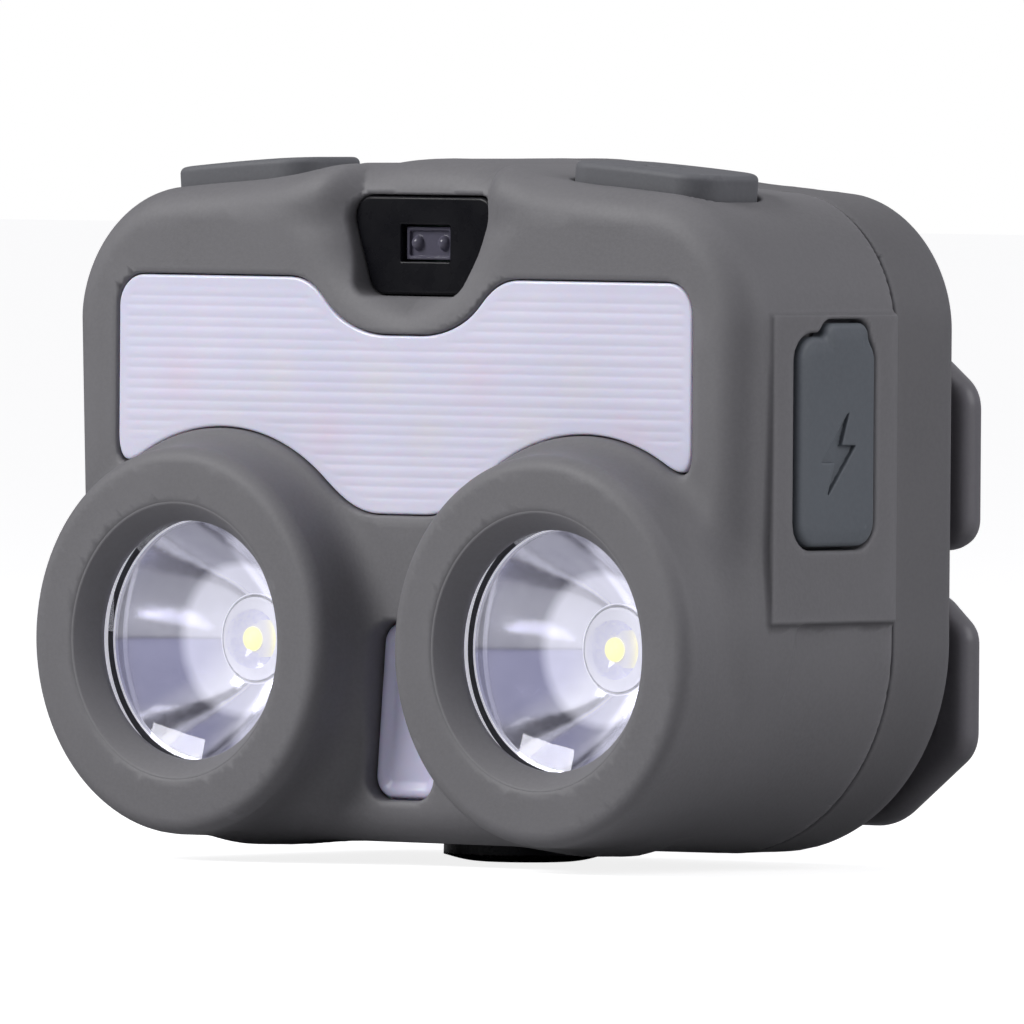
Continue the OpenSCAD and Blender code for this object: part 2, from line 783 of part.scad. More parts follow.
module bracket_outline() {
    cx = 8.2;
    cz = 6.2;
    w = bracket_half_w;
    polygon([[cx - w, bracket_low_z], [w - cx, bracket_low_z], [w, bracket_low_z + cz],
        [w, bracket_top_z - cz], [w - cx, bracket_top_z], [cx - w, bracket_top_z],
        [-w, bracket_top_z - cz], [-w, bracket_low_z + cz]]);
}

module strap_bracket() {
    slot_mid_z = (bracket_low_z + bracket_top_z) / 2;
    color([0.40, 0.40, 0.43]) difference() {
        union() {
            along_y(bracket_y, bracket_y + bracket_t) difference() {
                bracket_outline();
                for (s = [-1, 1]) {
                    translate([s * (slot_x + slot_w / 2), slot_mid_z])
                        round_rect(slot_w, strap_w + 2, 1);
                    bar_gap(s);
                }
                translate([-ear_x[0], bracket_low_z - over])
                    square([2 * ear_x[0], over + axis_z - bracket_low_z + knuckle_r + 0.6]);
            }
            for (s = [-1, 1]) ear(s);
        }
        disc_x(-ear_x[1] - over, ear_x[1] + over, pin_r);
    }
}

// The break in each side bar that lets the strap slip in, sloped on its lower side
module bar_gap(s) {
    x0 = slot_x + slot_w - 0.5;
    x1 = bracket_half_w;
    polygon([[s * x0, bar_gap_z[0]], [s * (x0 + 1.2), bar_gap_z[0]], [s * (x1 + 0.2), bar_gap_z[0] - 3.2],
        [s * (x1 + 1), bar_gap_z[0] - 3.2], [s * (x1 + 1), bar_gap_z[1] + 1.4],
        [s * x1, bar_gap_z[1] + 1.4], [s * (x1 - 1.4), bar_gap_z[1]], [s * x0, bar_gap_z[1]]]);
}

module ear(s) {
    x0 = s > 0 ? ear_x[0] : -ear_x[1];
    disc_x(x0, x0 + ear_x[1] - ear_x[0], ear_r);
    translate([x0, axis_y, axis_z - ear_r + 0.15])
        cube([ear_x[1] - ear_x[0], bracket_y - axis_y + 1, 2 * ear_r - 0.15]);
}

module hinge_pin() {
    color("silver") disc_x(-ear_x[1], ear_x[1], pin_r);
}

front_housing();
rear_cover();
hinge_knuckle();
housing_seal();
case_screws();
magnet_foot();
foot_magnet();
spot_lens(left);  // spot_lens_left
spot_lens(right);  // spot_lens_right
lens_seal(left);  // lens_seal_left
lens_seal(right);  // lens_seal_right
spot_reflector(left);  // spot_reflector_left
spot_reflector(right);  // spot_reflector_right
spot_led(left);  // spot_led_left
spot_led(right);  // spot_led_right
spot_board(left);  // spot_board_left
spot_board(right);  // spot_board_right
heat_sink();
heat_sink_screws();
spot_leads();
flood_diffuser();
flood_frame();
flood_board();
flood_leds();
lower_window();
status_board();
status_leds();
sensor_panel();
ir_sensor();
sensor_board();
main_board();
board_components();
board_spacers();
usb_socket();
usb_flap();
button(left);  // button_left
button(right);  // button_right
switch_plunger(left);  // switch_plunger_left
switch_plunger(right);  // switch_plunger_right
tact_switch(left);  // tact_switch_left
tact_switch(right);  // tact_switch_right
button_board(left);  // button_board_left
button_board(right);  // button_board_right
battery_cell();
battery_pad();
battery_leads();
strap_bracket();
hinge_pin();
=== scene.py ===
"""Looks of the twin-spot headlamp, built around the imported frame.

Shapes are written in millimetres, as signed distance fields (negative inside), and are meshed in metres.
+X is the wearer's left, -Y is forwards, +Z is up.
"""
import json
import math

import bpy
import numpy as np
import openvdb
from mathutils import Matrix, Vector


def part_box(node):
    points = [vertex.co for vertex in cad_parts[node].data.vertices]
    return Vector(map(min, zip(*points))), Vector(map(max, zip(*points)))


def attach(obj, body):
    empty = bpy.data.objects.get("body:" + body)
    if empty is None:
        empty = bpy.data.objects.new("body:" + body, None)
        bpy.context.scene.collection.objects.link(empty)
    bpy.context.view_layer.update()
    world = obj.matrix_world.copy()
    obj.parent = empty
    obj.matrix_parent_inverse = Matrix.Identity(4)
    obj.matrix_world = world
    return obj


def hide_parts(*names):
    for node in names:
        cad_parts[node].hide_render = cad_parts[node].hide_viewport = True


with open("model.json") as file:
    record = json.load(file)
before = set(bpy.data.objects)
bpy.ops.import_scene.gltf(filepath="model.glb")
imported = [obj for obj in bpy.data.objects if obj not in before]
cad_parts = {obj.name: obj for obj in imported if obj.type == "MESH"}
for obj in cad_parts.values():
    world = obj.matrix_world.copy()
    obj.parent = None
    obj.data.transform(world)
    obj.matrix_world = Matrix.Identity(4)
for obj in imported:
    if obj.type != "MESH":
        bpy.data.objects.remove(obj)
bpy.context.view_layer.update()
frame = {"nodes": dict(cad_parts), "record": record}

MM = 0.001
LEFT, RIGHT = 1, -1
SIDES = {"left": LEFT, "right": RIGHT}


def span(node):
    """Lowest and highest corner of a CAD node, in millimetres."""
    low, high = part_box(node)
    return np.array(low) / MM, np.array(high) / MM


def middle(node):
    low, high = span(node)
    return (low + high) / 2


# ---- sizes, from the frame where it has them ----

COVER_LOW, COVER_HIGH = span("rear_cover")
HOUSING_LOW, HOUSING_HIGH = span("front_housing")
DIFFUSER_LOW, DIFFUSER_HIGH = span("flood_diffuser")
LENS_LOW, LENS_HIGH = span("spot_lens_left")
PANEL_LOW, PANEL_HIGH = span("sensor_panel")
FLAP_LOW, FLAP_HIGH = span("usb_flap")
FOOT_LOW, FOOT_HIGH = span("magnet_foot")
BRACKET_LOW, BRACKET_HIGH = span("strap_bracket")
REFLECTOR_LOW = span("spot_reflector_left")[0]
LED_HIGH = span("spot_led_left")[1]

WALL = 2.0
SPLIT_Y = COVER_LOW[1]
BACK_Y = COVER_HIGH[1]
HALF_W = COVER_HIGH[0]
RIM_Y = HOUSING_LOW[1]
FRONT_Y = DIFFUSER_LOW[1] - 0.15
RIM_H = FRONT_Y - RIM_Y
SPOT_X, _, SPOT_Z = middle("spot_lens_left")
EDGE_R = 3.0
TOP_R = 10.0
CROWN_R = 281.0
RIDGE_RISE = 1.35
SHOULDER_Z = COVER_HIGH[2] - RIDGE_RISE
TOP_CORNER_Z = SHOULDER_Z - (HALF_W - TOP_R) ** 2 / (2 * CROWN_R) - TOP_R
BARREL_R = 15.85
LOW_R = 17.4
LOW_X = HALF_W - LOW_R - 0.05
LOW_Z = COVER_LOW[2] + LOW_R
RIM_ROUND = 1.4
BARREL_END = FRONT_Y + 2 * EDGE_R


# ---- fields ----

def soft(a, b, k):
    """How far a smooth maximum of a and b rises above the sharp one, for a blend of width k."""
    near = np.maximum(k - np.abs(a - b), 0)
    return near * near / (4 * np.maximum(k, 1e-6))


def both(a, b, k=0.0):
    return np.maximum(a, b) + soft(a, b, k)


def either(a, b, k=0.0):
    return np.minimum(a, b) - soft(a, b, k)


def cut(a, b, k=0.0):
    return both(a, -b, k)


def arc(a, b, r):
    """Where two faces meet squarely, with a round edge of radius r."""
    return np.hypot(np.maximum(a + r, 0), np.maximum(b + r, 0)) - r + np.minimum(np.maximum(a, b) + r, 0)


def slab(v, low, high):
    """Between two parallel planes."""
    return np.maximum(low - v, v - high)


def ramp(v, low, high):
    """0 at low, 1 at high, smooth between."""
    t = np.clip((v - low) / (high - low), 0, 1)
    return t * t * (3 - 2 * t)


def edge(u, v, a, b):
    """Distance to the line from a to b, positive on its right-hand side."""
    du, dv = b[0] - a[0], b[1] - a[1]
    return ((u - a[0]) * dv - (v - a[1]) * du) / math.hypot(du, dv)


def polygon(u, v, corners):
    """Signed distance to a polygon, negative inside, in any corner order."""
    gap = np.full(np.broadcast(u, v).shape, 1e9)
    inside = np.zeros(gap.shape, bool)
    for (ax, ay), (bx, by) in zip(corners, corners[1:] + corners[:1]):
        ex, ey = bx - ax, by - ay
        t = np.clip(((u - ax) * ex + (v - ay) * ey) / (ex * ex + ey * ey), 0, 1)
        gap = np.minimum(gap, np.hypot(u - ax - t * ex, v - ay - t * ey))
        if ay != by:
            inside ^= ((v >= ay) != (v >= by)) & (u < ax + (v - ay) * ex / (by - ay))
    return np.where(inside, -gap, gap)


def box2(u, v, half_u, half_v, r):
    return arc(np.abs(u) - half_u, np.abs(v) - half_v, r)


def plane3(x, y, z, a, b, c, inside):
    """Distance to the plane through three points, negative on the side where the point inside lies."""
    a, b, c, inside = map(np.array, (a, b, c, inside))
    n = np.cross(b - a, c - a)
    n = n / np.linalg.norm(n)
    if n @ (inside - a) > 0:
        n = -n
    return (x - a[0]) * n[0] + (y - a[1]) * n[1] + (z - a[2]) * n[2]


# ---- casing ----

def loft(y):
    """0 at the barrels' rims, 1 at the split line."""
    return np.clip((y - RIM_Y - RIM_ROUND) / (SPLIT_Y - RIM_Y - RIM_ROUND), 0, 1)


def crown(x):
    return SHOULDER_Z - x * x / (2 * CROWN_R)


def outline(x, y, z):
    """The body's outline, whose bottom corners swell from the rims to the split line."""
    t = loft(y)
    low_r = BARREL_R + (LOW_R - BARREL_R) * t
    low_x = SPOT_X + (LOW_X - SPOT_X) * t
    low_z = SPOT_Z + (LOW_Z - SPOT_Z) * t
    lean = np.clip((TOP_CORNER_Z - z) / (TOP_CORNER_Z - low_z), 0, 1)
    side = np.abs(x) - HALF_W + (HALF_W - low_x - low_r) * lean
    return np.maximum(arc(side, z - crown(x), TOP_R), arc(side, low_z - low_r - z, low_r))


def barrel(x, y, z, side):
    t = loft(y)
    r = BARREL_R + (LOW_R - BARREL_R) * t - 0.12 * ramp(y, FRONT_Y + 2.5, BARREL_END)
    away = np.hypot(x - side * (SPOT_X + (LOW_X - SPOT_X) * t), z - SPOT_Z - (LOW_Z - SPOT_Z) * t) - r
    return np.maximum(arc(away, RIM_Y - y, RIM_ROUND), y - BARREL_END)


def barrel_blend(x, z, side):
    """Width of the fillet round a barrel: next to none where it runs on into the body's bottom corner."""
    return 0.1 + 2.6 * ramp(np.maximum(z - SPOT_Z, -side * (x - side * SPOT_X)), -7, 3)


RIDGE_HALF = 7.2
RIDGE_FOOT = 10.4
RIDGE_REACH = 20
RIDGE_DEPTH = 12
RIDGE_FALL = 0.2


def ridged(body, x, z):
    """The outline with the ridge that runs along the middle of the top."""
    u = np.abs(x)
    top = SHOULDER_Z + RIDGE_RISE
    roof = z - top + RIDGE_FALL * np.clip(u / RIDGE_HALF, 0, 1)
    slope = -edge(u, z, (RIDGE_HALF, top - RIDGE_FALL), (RIDGE_FOOT, crown(RIDGE_FOOT)))
    block = np.maximum(np.maximum(roof, SHOULDER_Z - RIDGE_DEPTH - z), u - RIDGE_REACH)
    return either(body, both(block, slope, 2.0), 3.0 * ramp(u, 5, 8.5))


LIP_R = 9.8
LIP_H = 3.6
SEAT_H = FRONT_Y - LENS_LOW[1]
SEAT_R = (LENS_HIGH[0] - LENS_LOW[0]) / 2
FUNNEL_R = 11.2


def barrel_hollow(rho, h):
    """The open front of a barrel and its lens seat, by radius and height forwards of the front face."""
    lean = (FUNNEL_R - LIP_R) / (RIM_H - LIP_H)
    cone = (rho - LIP_R - lean * np.maximum(h - LIP_H, 0)) / math.hypot(1, lean) - 0.1
    seat = np.maximum(rho - SEAT_R - 0.05, slab(h, -WALL - 0.5, SEAT_H))
    groove = np.maximum(np.abs(rho - SEAT_R - 2.2) - 0.7, slab(h, -WALL - 0.5, SEAT_H - 0.6))
    return either(either(np.maximum(cone, SEAT_H - 0.3 - h), seat), groove)


DISH_Y = PANEL_LOW[1]
DISH_IN = [(8, 60), (8, 52.2), (6.6, 47.4), (4.4, 45.6), (0, 45.6)]
DISH_OUT = [(13, 60), (13, 54), (9.8, 47.6), (5, 43.8), (0, 43.8)]


def dish(x, y, z):
    """The hollow that slopes in to the sensor's panel and is open at the top."""
    u = np.abs(x)
    field = y - DISH_Y
    centre = (0, FRONT_Y, 52)
    for k, blend in enumerate([0, 3.5, 4.5, 4.5]):
        a, b = ((corner[0], DISH_Y, corner[1]) for corner in DISH_IN[k:k + 2])
        c = (DISH_OUT[k][0], FRONT_Y - 0.3, DISH_OUT[k][1])
        wall = plane3(u, y, z, a, b, c, centre)
        field = wall if k == 0 else both(field, wall, blend)
    fade = 2.2 * ramp(z, 51.5, 56) * ramp(u, 6.5, 10)
    return np.maximum(field, y - DISH_Y) + fade


PANEL_CORNER = 1.7
PANEL_TAPER = 1.5
PANEL_HALF_H = 2.3


def panel_outline(x, z, grow):
    """A trapezoid with round corners, narrower at the bottom."""
    mid_z = (PANEL_LOW[2] + PANEL_HIGH[2]) / 2
    top_z, low_z = mid_z + PANEL_HALF_H, mid_z - PANEL_HALF_H
    half = PANEL_HIGH[0] - PANEL_CORNER
    corners = [(-half, top_z), (half, top_z), (half - PANEL_TAPER, low_z), (PANEL_TAPER - half, low_z)]
    return polygon(x, z, corners) - PANEL_CORNER - grow


WINDOW_R = 17.4
FLANGE = 1.1
NOTCH = [(5.6, 43), (9.6, 46.6), (11.2, 49)]


def flood_outline(x, z, grow):
    """The flood window: a wide band less the two barrels and the sensor's notch."""
    u = np.abs(x)
    top = DIFFUSER_HIGH[2] - FLANGE
    low = DIFFUSER_LOW[2] + FLANGE
    half = DIFFUSER_HIGH[0] - FLANGE
    band = arc(u - half, np.abs(z - (top + low) / 2) - (top - low) / 2, 2.6)
    notch = both(NOTCH[0][1] - z, edge(u, z, NOTCH[0], NOTCH[1]), 2.6)
    notch = both(notch, edge(u, z, NOTCH[1], NOTCH[2]), 1.2)
    lamps = WINDOW_R - np.hypot(u - SPOT_X, z - SPOT_Z)
    return both(both(band, lamps, 2.8), -notch, 1.8) - grow


def low_outline(x, z, grow):
    """The small window between the barrels, a little wider at the bottom."""
    return polygon(x, z, [(-0.9, 17.9), (0.9, 17.9), (1.7, 7.2), (-1.7, 7.2)]) - 1.2 - grow


BUTTON_X = 21.35
BUTTON_Y = middle("button_left")[1]
BUTTON_HALF_L, BUTTON_HALF_W = 7.5, 4.5
BUTTON_RISE = 1.7
BUTTON_SKIRT = 0.6
TILT = math.asin(BUTTON_X / CROWN_R)


def button_frame(x, z, side):
    """Across and height of a point from a button's place on the domed top."""
    dx = x - side * BUTTON_X
    dz = z - crown(BUTTON_X)
    across = dx * math.cos(TILT) - side * dz * math.sin(TILT)
    up = side * dx * math.sin(TILT) + dz * math.cos(TILT)
    return across, up


FLAP_MID_Y = (FLAP_LOW[1] + FLAP_HIGH[1]) / 2
FLAP_BASE_TOP = FLAP_HIGH[2] - 1.1
FLAP_MID_Z = (FLAP_LOW[2] + FLAP_BASE_TOP) / 2
FLAP_GAP = 0.3
TAB_Y = (FLAP_LOW[1] + 3.2, FLAP_HIGH[1] - 0.8)


def flap_outline(y, z, grow):
    """The charging flap with its finger tab at the top."""
    half_y = (FLAP_HIGH[1] - FLAP_LOW[1]) / 2
    plate = box2(y - FLAP_MID_Y, z - FLAP_MID_Z, half_y, FLAP_BASE_TOP - FLAP_MID_Z, 2)
    tab_z = (FLAP_MID_Z + FLAP_HIGH[2]) / 2
    tab = box2(y - sum(TAB_Y) / 2, z - tab_z, (TAB_Y[1] - TAB_Y[0]) / 2, FLAP_HIGH[2] - tab_z, 1.1)
    return either(plate, tab, 0.5) - grow


PORT_Z = 34.9
PAD_LOW_Z, PAD_HIGH_Z = 20.2, 45.2
SCREW_X = 31.6
SCREW_ZS = (13, 46.5)
SCREW_POST_R = 3
POST_X = 6.3
POST_ZS = (8.5, 24.9)
SINK_Y = span("heat_sink")[0][1]
SEAM = 0.04


def screw_posts(x, z):
    posts = 1e3
    for screw_z in SCREW_ZS:
        posts = np.minimum(posts, np.hypot(np.abs(x) - SCREW_X, z - screw_z))
    return posts


def sink_posts(x, z):
    posts = 1e3
    for post_z in POST_ZS:
        posts = np.minimum(posts, np.hypot(np.abs(x) - POST_X, z - post_z))
    return posts


def foot_hole(x, y, z):
    r = np.hypot(x, y)
    foot_r = FOOT_HIGH[0]
    return np.minimum(np.maximum(r - foot_r + 0.8, z - 5), np.maximum(r - foot_r - 0.1, slab(z, 3.35, 5.4)))


def front_solid(x, y, z, body):
    """The front shell before it is hollowed: body, barrels, the flat pad round the port and the dish."""
    solid = arc(ridged(body, x, z), FRONT_Y - y, EDGE_R)
    for side in SIDES.values():
        solid = either(solid, barrel(x, y, z, side), barrel_blend(x, z, side))
    pad = np.maximum(np.maximum(x - HOUSING_HIGH[0], HALF_W - 1.2 - x), slab(z, PAD_LOW_Z, PAD_HIGH_Z))
    solid = either(solid, both(pad, FRONT_Y + 3.4 - y, 0.3), 0.5)
    return cut(solid, dish(x, y, z), 1.3 + 2.4 * ramp(z, 50, 56))


def dish_backing(x, y, z):
    """Keeps the wall behind the sensor's hollow when the shell is hollowed."""
    deep = slab(y, FRONT_Y + WALL - 0.5, FRONT_Y + 3.9)
    return np.maximum(np.maximum(np.abs(x) - 9.6, deep), slab(z, 44.5, 55.1))


def cut_spot_and_button(shell, x, y, z, side):
    inside = barrel_hollow(np.hypot(x - side * SPOT_X, z - SPOT_Z), FRONT_Y - y)
    shell = cut(shell, inside, 0.35)
    across, up = button_frame(x, z, side)
    well = box2(across, y - BUTTON_Y, BUTTON_HALF_L + 0.18, BUTTON_HALF_W + 0.18, 3.15)
    return cut(shell, np.maximum(well, -4 - up), 0.4)


def cut_windows(shell, x, y, z):
    through = y - FRONT_Y - WALL - 1
    shell = cut(shell, np.maximum(flood_outline(x, z, 0.1), through), 0.35)
    seat = slab(y, FRONT_Y + WALL - 0.03, FRONT_Y + WALL + 1)
    shell = cut(shell, np.maximum(flood_outline(x, z, 1.2), seat))
    shell = cut(shell, np.maximum(low_outline(x, z, 0.75), through), 0.35)
    return cut(shell, np.maximum(panel_outline(x, z, 0.12), y - FRONT_Y - 6), 0.3)


def cut_port(shell, x, y, z):
    pocket = np.maximum(flap_outline(y, z, FLAP_GAP), FLAP_LOW[0] + 0.5 - x)
    shell = cut(shell, pocket, 0.35)
    port = box2(y - FLAP_MID_Y, z - PORT_Z, 1.7, 4.57, 1.6)
    return cut(shell, np.maximum(port, HALF_W - 5 - x))


def front_shell(x, y, z):
    body = outline(x, y, z)
    hollow = arc(body + WALL, FRONT_Y + WALL - y, 1)
    shell = np.maximum(front_solid(x, y, z, body), np.minimum(-hollow, dish_backing(x, y, z)))
    screws = screw_posts(x, z)
    sinks = sink_posts(x, z)
    shell = np.minimum(shell, np.maximum(screws - SCREW_POST_R, SPLIT_Y - 5.8 - y))
    shell = np.minimum(shell, np.maximum(sinks - 1.8, slab(y, FRONT_Y + WALL - 0.5, SINK_Y)))
    for side in SIDES.values():
        shell = cut_spot_and_button(shell, x, y, z, side)
    shell = cut_windows(shell, x, y, z)
    shell = cut_port(shell, x, y, z)
    shell = cut(shell, foot_hole(x, y, z), 0.3)
    shell = np.maximum(shell, -np.maximum(screws - 1.05, SPLIT_Y - 5 - y))
    shell = np.maximum(shell, -np.maximum(sinks - 0.75, SINK_Y - 3.4 - y))
    seal_groove = np.maximum(slab(body, -2.0, -1.0), SPLIT_Y - 1 - y)
    shell = np.maximum(shell, -seal_groove)
    return both(shell, y - SPLIT_Y + SEAM, 0.3)


AXIS_Y, AXIS_Z = middle("hinge_pin")[1:]
EAR_R = 2.3


def rear_shell(x, y, z):
    body = outline(x, np.full_like(y, SPLIT_Y), z)
    solid = arc(ridged(body, x, z), y - BACK_Y, EDGE_R)
    shell = np.maximum(solid, -arc(body + WALL, y - BACK_Y + WALL, 1))
    screws = screw_posts(x, z)
    shell = np.minimum(shell, np.maximum(screws - SCREW_POST_R, y - BACK_Y + 1))
    shell = cut(shell, np.maximum(screws - 2.2, BACK_Y - 2.2 - y), 0.4)
    shell = np.maximum(shell, 1.2 - screws)
    turn = np.hypot(y - AXIS_Y, z - AXIS_Z) - EAR_R - 0.4
    shell = cut(shell, np.maximum(turn, np.abs(x) - 11.8), 0.3)
    knuckle_z = AXIS_Z + 0.1
    socket = box2(x, z - knuckle_z, 7.05, 2.35, 0.6)
    shell = cut(shell, np.maximum(socket, BACK_Y - WALL - 1 - y), 0.2)
    shell = cut(shell, foot_hole(x, y, z), 0.3)
    return both(shell, SPLIT_Y + SEAM - y, 0.3)


# ---- small parts ----

RIB_PITCH = 0.85
RIB_DEPTH = 0.045


def diffuser(x, y, z):
    """Frosted window with fine level ribs on its face, plain near its edge."""
    face = flood_outline(x, z, 0)
    rib = RIB_DEPTH * (1 - np.abs(np.sin(np.pi * (z - SPOT_Z) / RIB_PITCH))) * ramp(-face, 0.5, 1.4)
    plate = both(face, slab(y, DIFFUSER_LOW[1] + rib, FRONT_Y + WALL + 0.1), 0.25)
    flange = np.maximum(flood_outline(x, z, 1.05), slab(y, FRONT_Y + WALL + 0.02, DIFFUSER_HIGH[1]))
    return np.minimum(plate, flange)


LOW_WINDOW_LOW, LOW_WINDOW_HIGH = span("lower_window")


def low_window(x, y, z):
    face = low_outline(x, z, 0.6)
    sunk = 0.3 * ramp(-face, 0.5, 1.5)
    plate = both(face, slab(y, LOW_WINDOW_LOW[1] + sunk, LOW_WINDOW_HIGH[1] - 0.5), 0.5)
    flange = np.maximum(low_outline(x, z, 1.05), slab(y, LOW_WINDOW_HIGH[1] - 0.78, LOW_WINDOW_HIGH[1]))
    return np.minimum(plate, flange)


EYE_LOW, EYE_HIGH = span("ir_sensor")
EYE_MID = (EYE_LOW + EYE_HIGH) / 2


def sensor_window(x, y, z):
    plate = both(panel_outline(x, z, 0), slab(y, PANEL_LOW[1], PANEL_HIGH[1]), 0.3)
    hole = box2(x - EYE_MID[0], z - EYE_MID[2], 2.65, 1.5, 0.1)
    return cut(plate, hole, 0.12)


def sensor_body(x, y, z):
    """The clear block of the sensor, with its rim and two eyes."""
    u = np.abs(x - EYE_MID[0])
    v = z - EYE_MID[2]
    front = EYE_LOW[1] + 0.45
    block = both(box2(u, v, 2.5, 1.36, 0.15), slab(y, front, EYE_HIGH[1] - 0.02), 0.15)
    sunk = box2(u, v, 2.15, 1.05, 0.2)
    block = cut(block, np.maximum(sunk, y - front - 0.3), 0.1)
    eyes = np.sqrt((u - 1.4) ** 2 + v * v + (y - front - 0.35) ** 2) - 0.62
    return either(block, np.maximum(eyes, y - front - 0.6), 0.12)


def bolt(u, v):
    """A plain lightning bolt, 6.4 high."""
    half = [(1.2, 3.2), (-2.0, -0.6), (-0.3, -0.6)]
    return polygon(u, v, half + [(-a, -b) for a, b in half]) - 0.08


def waves(u, v):
    """A dot and two arcs, for a hand-wave sensor."""
    r = np.hypot(u, v + 1.6)
    fan = np.abs(u) - (v + 1.6) * 0.95
    arcs = np.maximum(np.minimum(np.abs(r - 1.7), np.abs(r - 2.9)) - 0.24, fan)
    return np.minimum(r - 0.55, arcs)


def port_cover(x, y, z):
    """Rubber flap: crowned face, thin raised edge, bolt and finger tab."""
    face = flap_outline(y, z, 0)
    outer = FLAP_HIGH[0] - 0.12 * ramp(face, -1.4, -0.1)
    plate = both(face, x - outer, 0.55)
    plate = np.maximum(plate, FLAP_LOW[0] + 0.85 - x)
    mark = np.maximum(bolt(y - FLAP_MID_Y, z - FLAP_MID_Z + 1), FLAP_HIGH[0] - 0.45 - x)
    plate = cut(plate, mark, 0.15)
    grip = np.maximum(np.abs(z - FLAP_BASE_TOP + 0.6) - 0.14, np.abs(y - sum(TAB_Y) / 2) - 1.7)
    plate = either(plate, both(grip, x - FLAP_HIGH[0] + 0.02, 0.2) + 0.02, 0.3)
    plug = box2(y - FLAP_MID_Y, z - PORT_Z, 0.95, 3.8, 0.94)
    plug = np.maximum(plug, slab(x, FLAP_LOW[0], FLAP_LOW[0] + 1.2))
    return np.maximum(np.minimum(plate, plug), x - FLAP_HIGH[0])


def button_cap(side, icon):
    """The field of a domed cap with a flange and a stem, and a mark cut in its top where it has one."""
    def field(x, y, z):
        across, up = button_frame(x, z, side)
        v = y - BUTTON_Y
        crowned = BUTTON_RISE - 0.1 * (across / BUTTON_HALF_L) ** 2
        cap = arc(box2(across, v, BUTTON_HALF_L, BUTTON_HALF_W, 3), up - crowned, 0.5)
        if icon:
            cap = cut(cap, np.maximum(icon(across, -v), 1.4 - up), 0.15)
        cap = np.maximum(cap, -2.7 - up)
        skirt = box2(across, v, BUTTON_HALF_L + BUTTON_SKIRT, BUTTON_HALF_W + BUTTON_SKIRT, 3 + BUTTON_SKIRT)
        flange = np.maximum(skirt, slab(up, -3.5, -2.6))
        stem = np.maximum(np.hypot(across, v) - 1.5, slab(up, -4.3, -3.4))
        return np.minimum(np.minimum(cap, flange), stem)
    return field


BRACKET_HALF_W, BRACKET_BACK_Y, BRACKET_TOP_Z = BRACKET_HIGH
PLATE_THICK = 2.8
CHAMFER_W, CHAMFER_H = 8.2, 6.2
SLOT_X = 27.65
SLOT_HALF_W, SLOT_HALF_H = 2.25, 13.5
GAP_LOW_Z, GAP_TOP_Z = 22.6, 25.8
NOTCH_HALF_W = 7.4
EAR_IN, EAR_OUT = 7.45, 11.4
PIN_HOLE_R = 1.02


def strap_gap(u, z):
    """The opening in a side bar through which the strap slips into its slot; it widens outwards."""
    lower = either(GAP_LOW_Z - z, edge(u, z, (30.2, GAP_LOW_Z), (33.9, 19.4)), 0.8)
    upper = either(z - GAP_TOP_Z, -edge(u, z, (32.2, GAP_TOP_Z), (33.9, 27.2)), 0.8)
    return np.maximum(np.maximum(upper, lower), 28.5 - u)


def bracket_outline(u, z):
    low_z = AXIS_Z - 2.2
    mid_z = (low_z + BRACKET_TOP_Z) / 2
    half_h = (BRACKET_TOP_Z - low_z) / 2
    v = np.abs(z - mid_z)
    chamfer = -edge(u, v, (BRACKET_HALF_W - CHAMFER_W, half_h), (BRACKET_HALF_W, half_h - CHAMFER_H))
    shape = both(np.maximum(u - BRACKET_HALF_W, v - half_h), chamfer, 1.2)
    slot = box2(u - SLOT_X, z - mid_z, SLOT_HALF_W, SLOT_HALF_H, 1)
    shape = cut(shape, either(slot, strap_gap(u, z), 1.2), 0.8)
    return cut(shape, np.maximum(u - NOTCH_HALF_W, z - AXIS_Z - 2.8), 0.4)


def bracket_plate(x, y, z):
    """Strap bracket: an octagonal plate with two open slots, a hinge notch and two ears."""
    u = np.abs(x)
    plate = both(bracket_outline(u, z), slab(y, BRACKET_BACK_Y - PLATE_THICK, BRACKET_BACK_Y), 1.5)
    from_pin = np.hypot(y - AXIS_Y, z - AXIS_Z)
    arm = slab(z, AXIS_Z - EAR_R + 0.15, AXIS_Z + EAR_R)
    arm = np.maximum(slab(y, AXIS_Y, BRACKET_BACK_Y - 1), arm)
    ear = both(np.minimum(from_pin - EAR_R, arm), slab(u, EAR_IN, EAR_OUT), 0.3)
    return cut(either(plate, ear, 0.5), from_pin - PIN_HOLE_R)


# ---- meshes ----

def gradient(field, points):
    """The field's slope at each point, and its length, never taken as less than 0.3."""
    step = 0.01
    x, y, z = points.T
    slope = np.stack([
        field(x + step, y, z) - field(x - step, y, z),
        field(x, y + step, z) - field(x, y - step, z),
        field(x, y, z + step) - field(x, y, z - step)], axis=1) / (2 * step)
    return slope, np.maximum(np.linalg.norm(slope, axis=1), 0.3)


def refine(field, points, reach):
    """Moves points onto the surface, and returns them with the surface's normals there."""
    home = points
    for _ in range(3):
        slope, size = gradient(field, points)
        moved = points - slope * (field(*points.T) / size ** 2)[:, None]
        points = home + np.clip(moved - home, -reach, reach)
    slope, size = gradient(field, points)
    return points, slope / size[:, None]


def mesh_object(name, points, faces, normals=None):
    """A smooth mesh object from points in millimetres."""
    mesh = bpy.data.meshes.new(name)
    mesh.from_pydata((points * MM).tolist(), [], [tuple(f) for f in faces])
    mesh.validate()
    mesh.shade_smooth()
    if normals is not None:
        mesh.normals_split_custom_set_from_vertices(normals)
    piece = bpy.data.objects.new(name, mesh)
    bpy.context.scene.collection.objects.link(piece)
    return piece


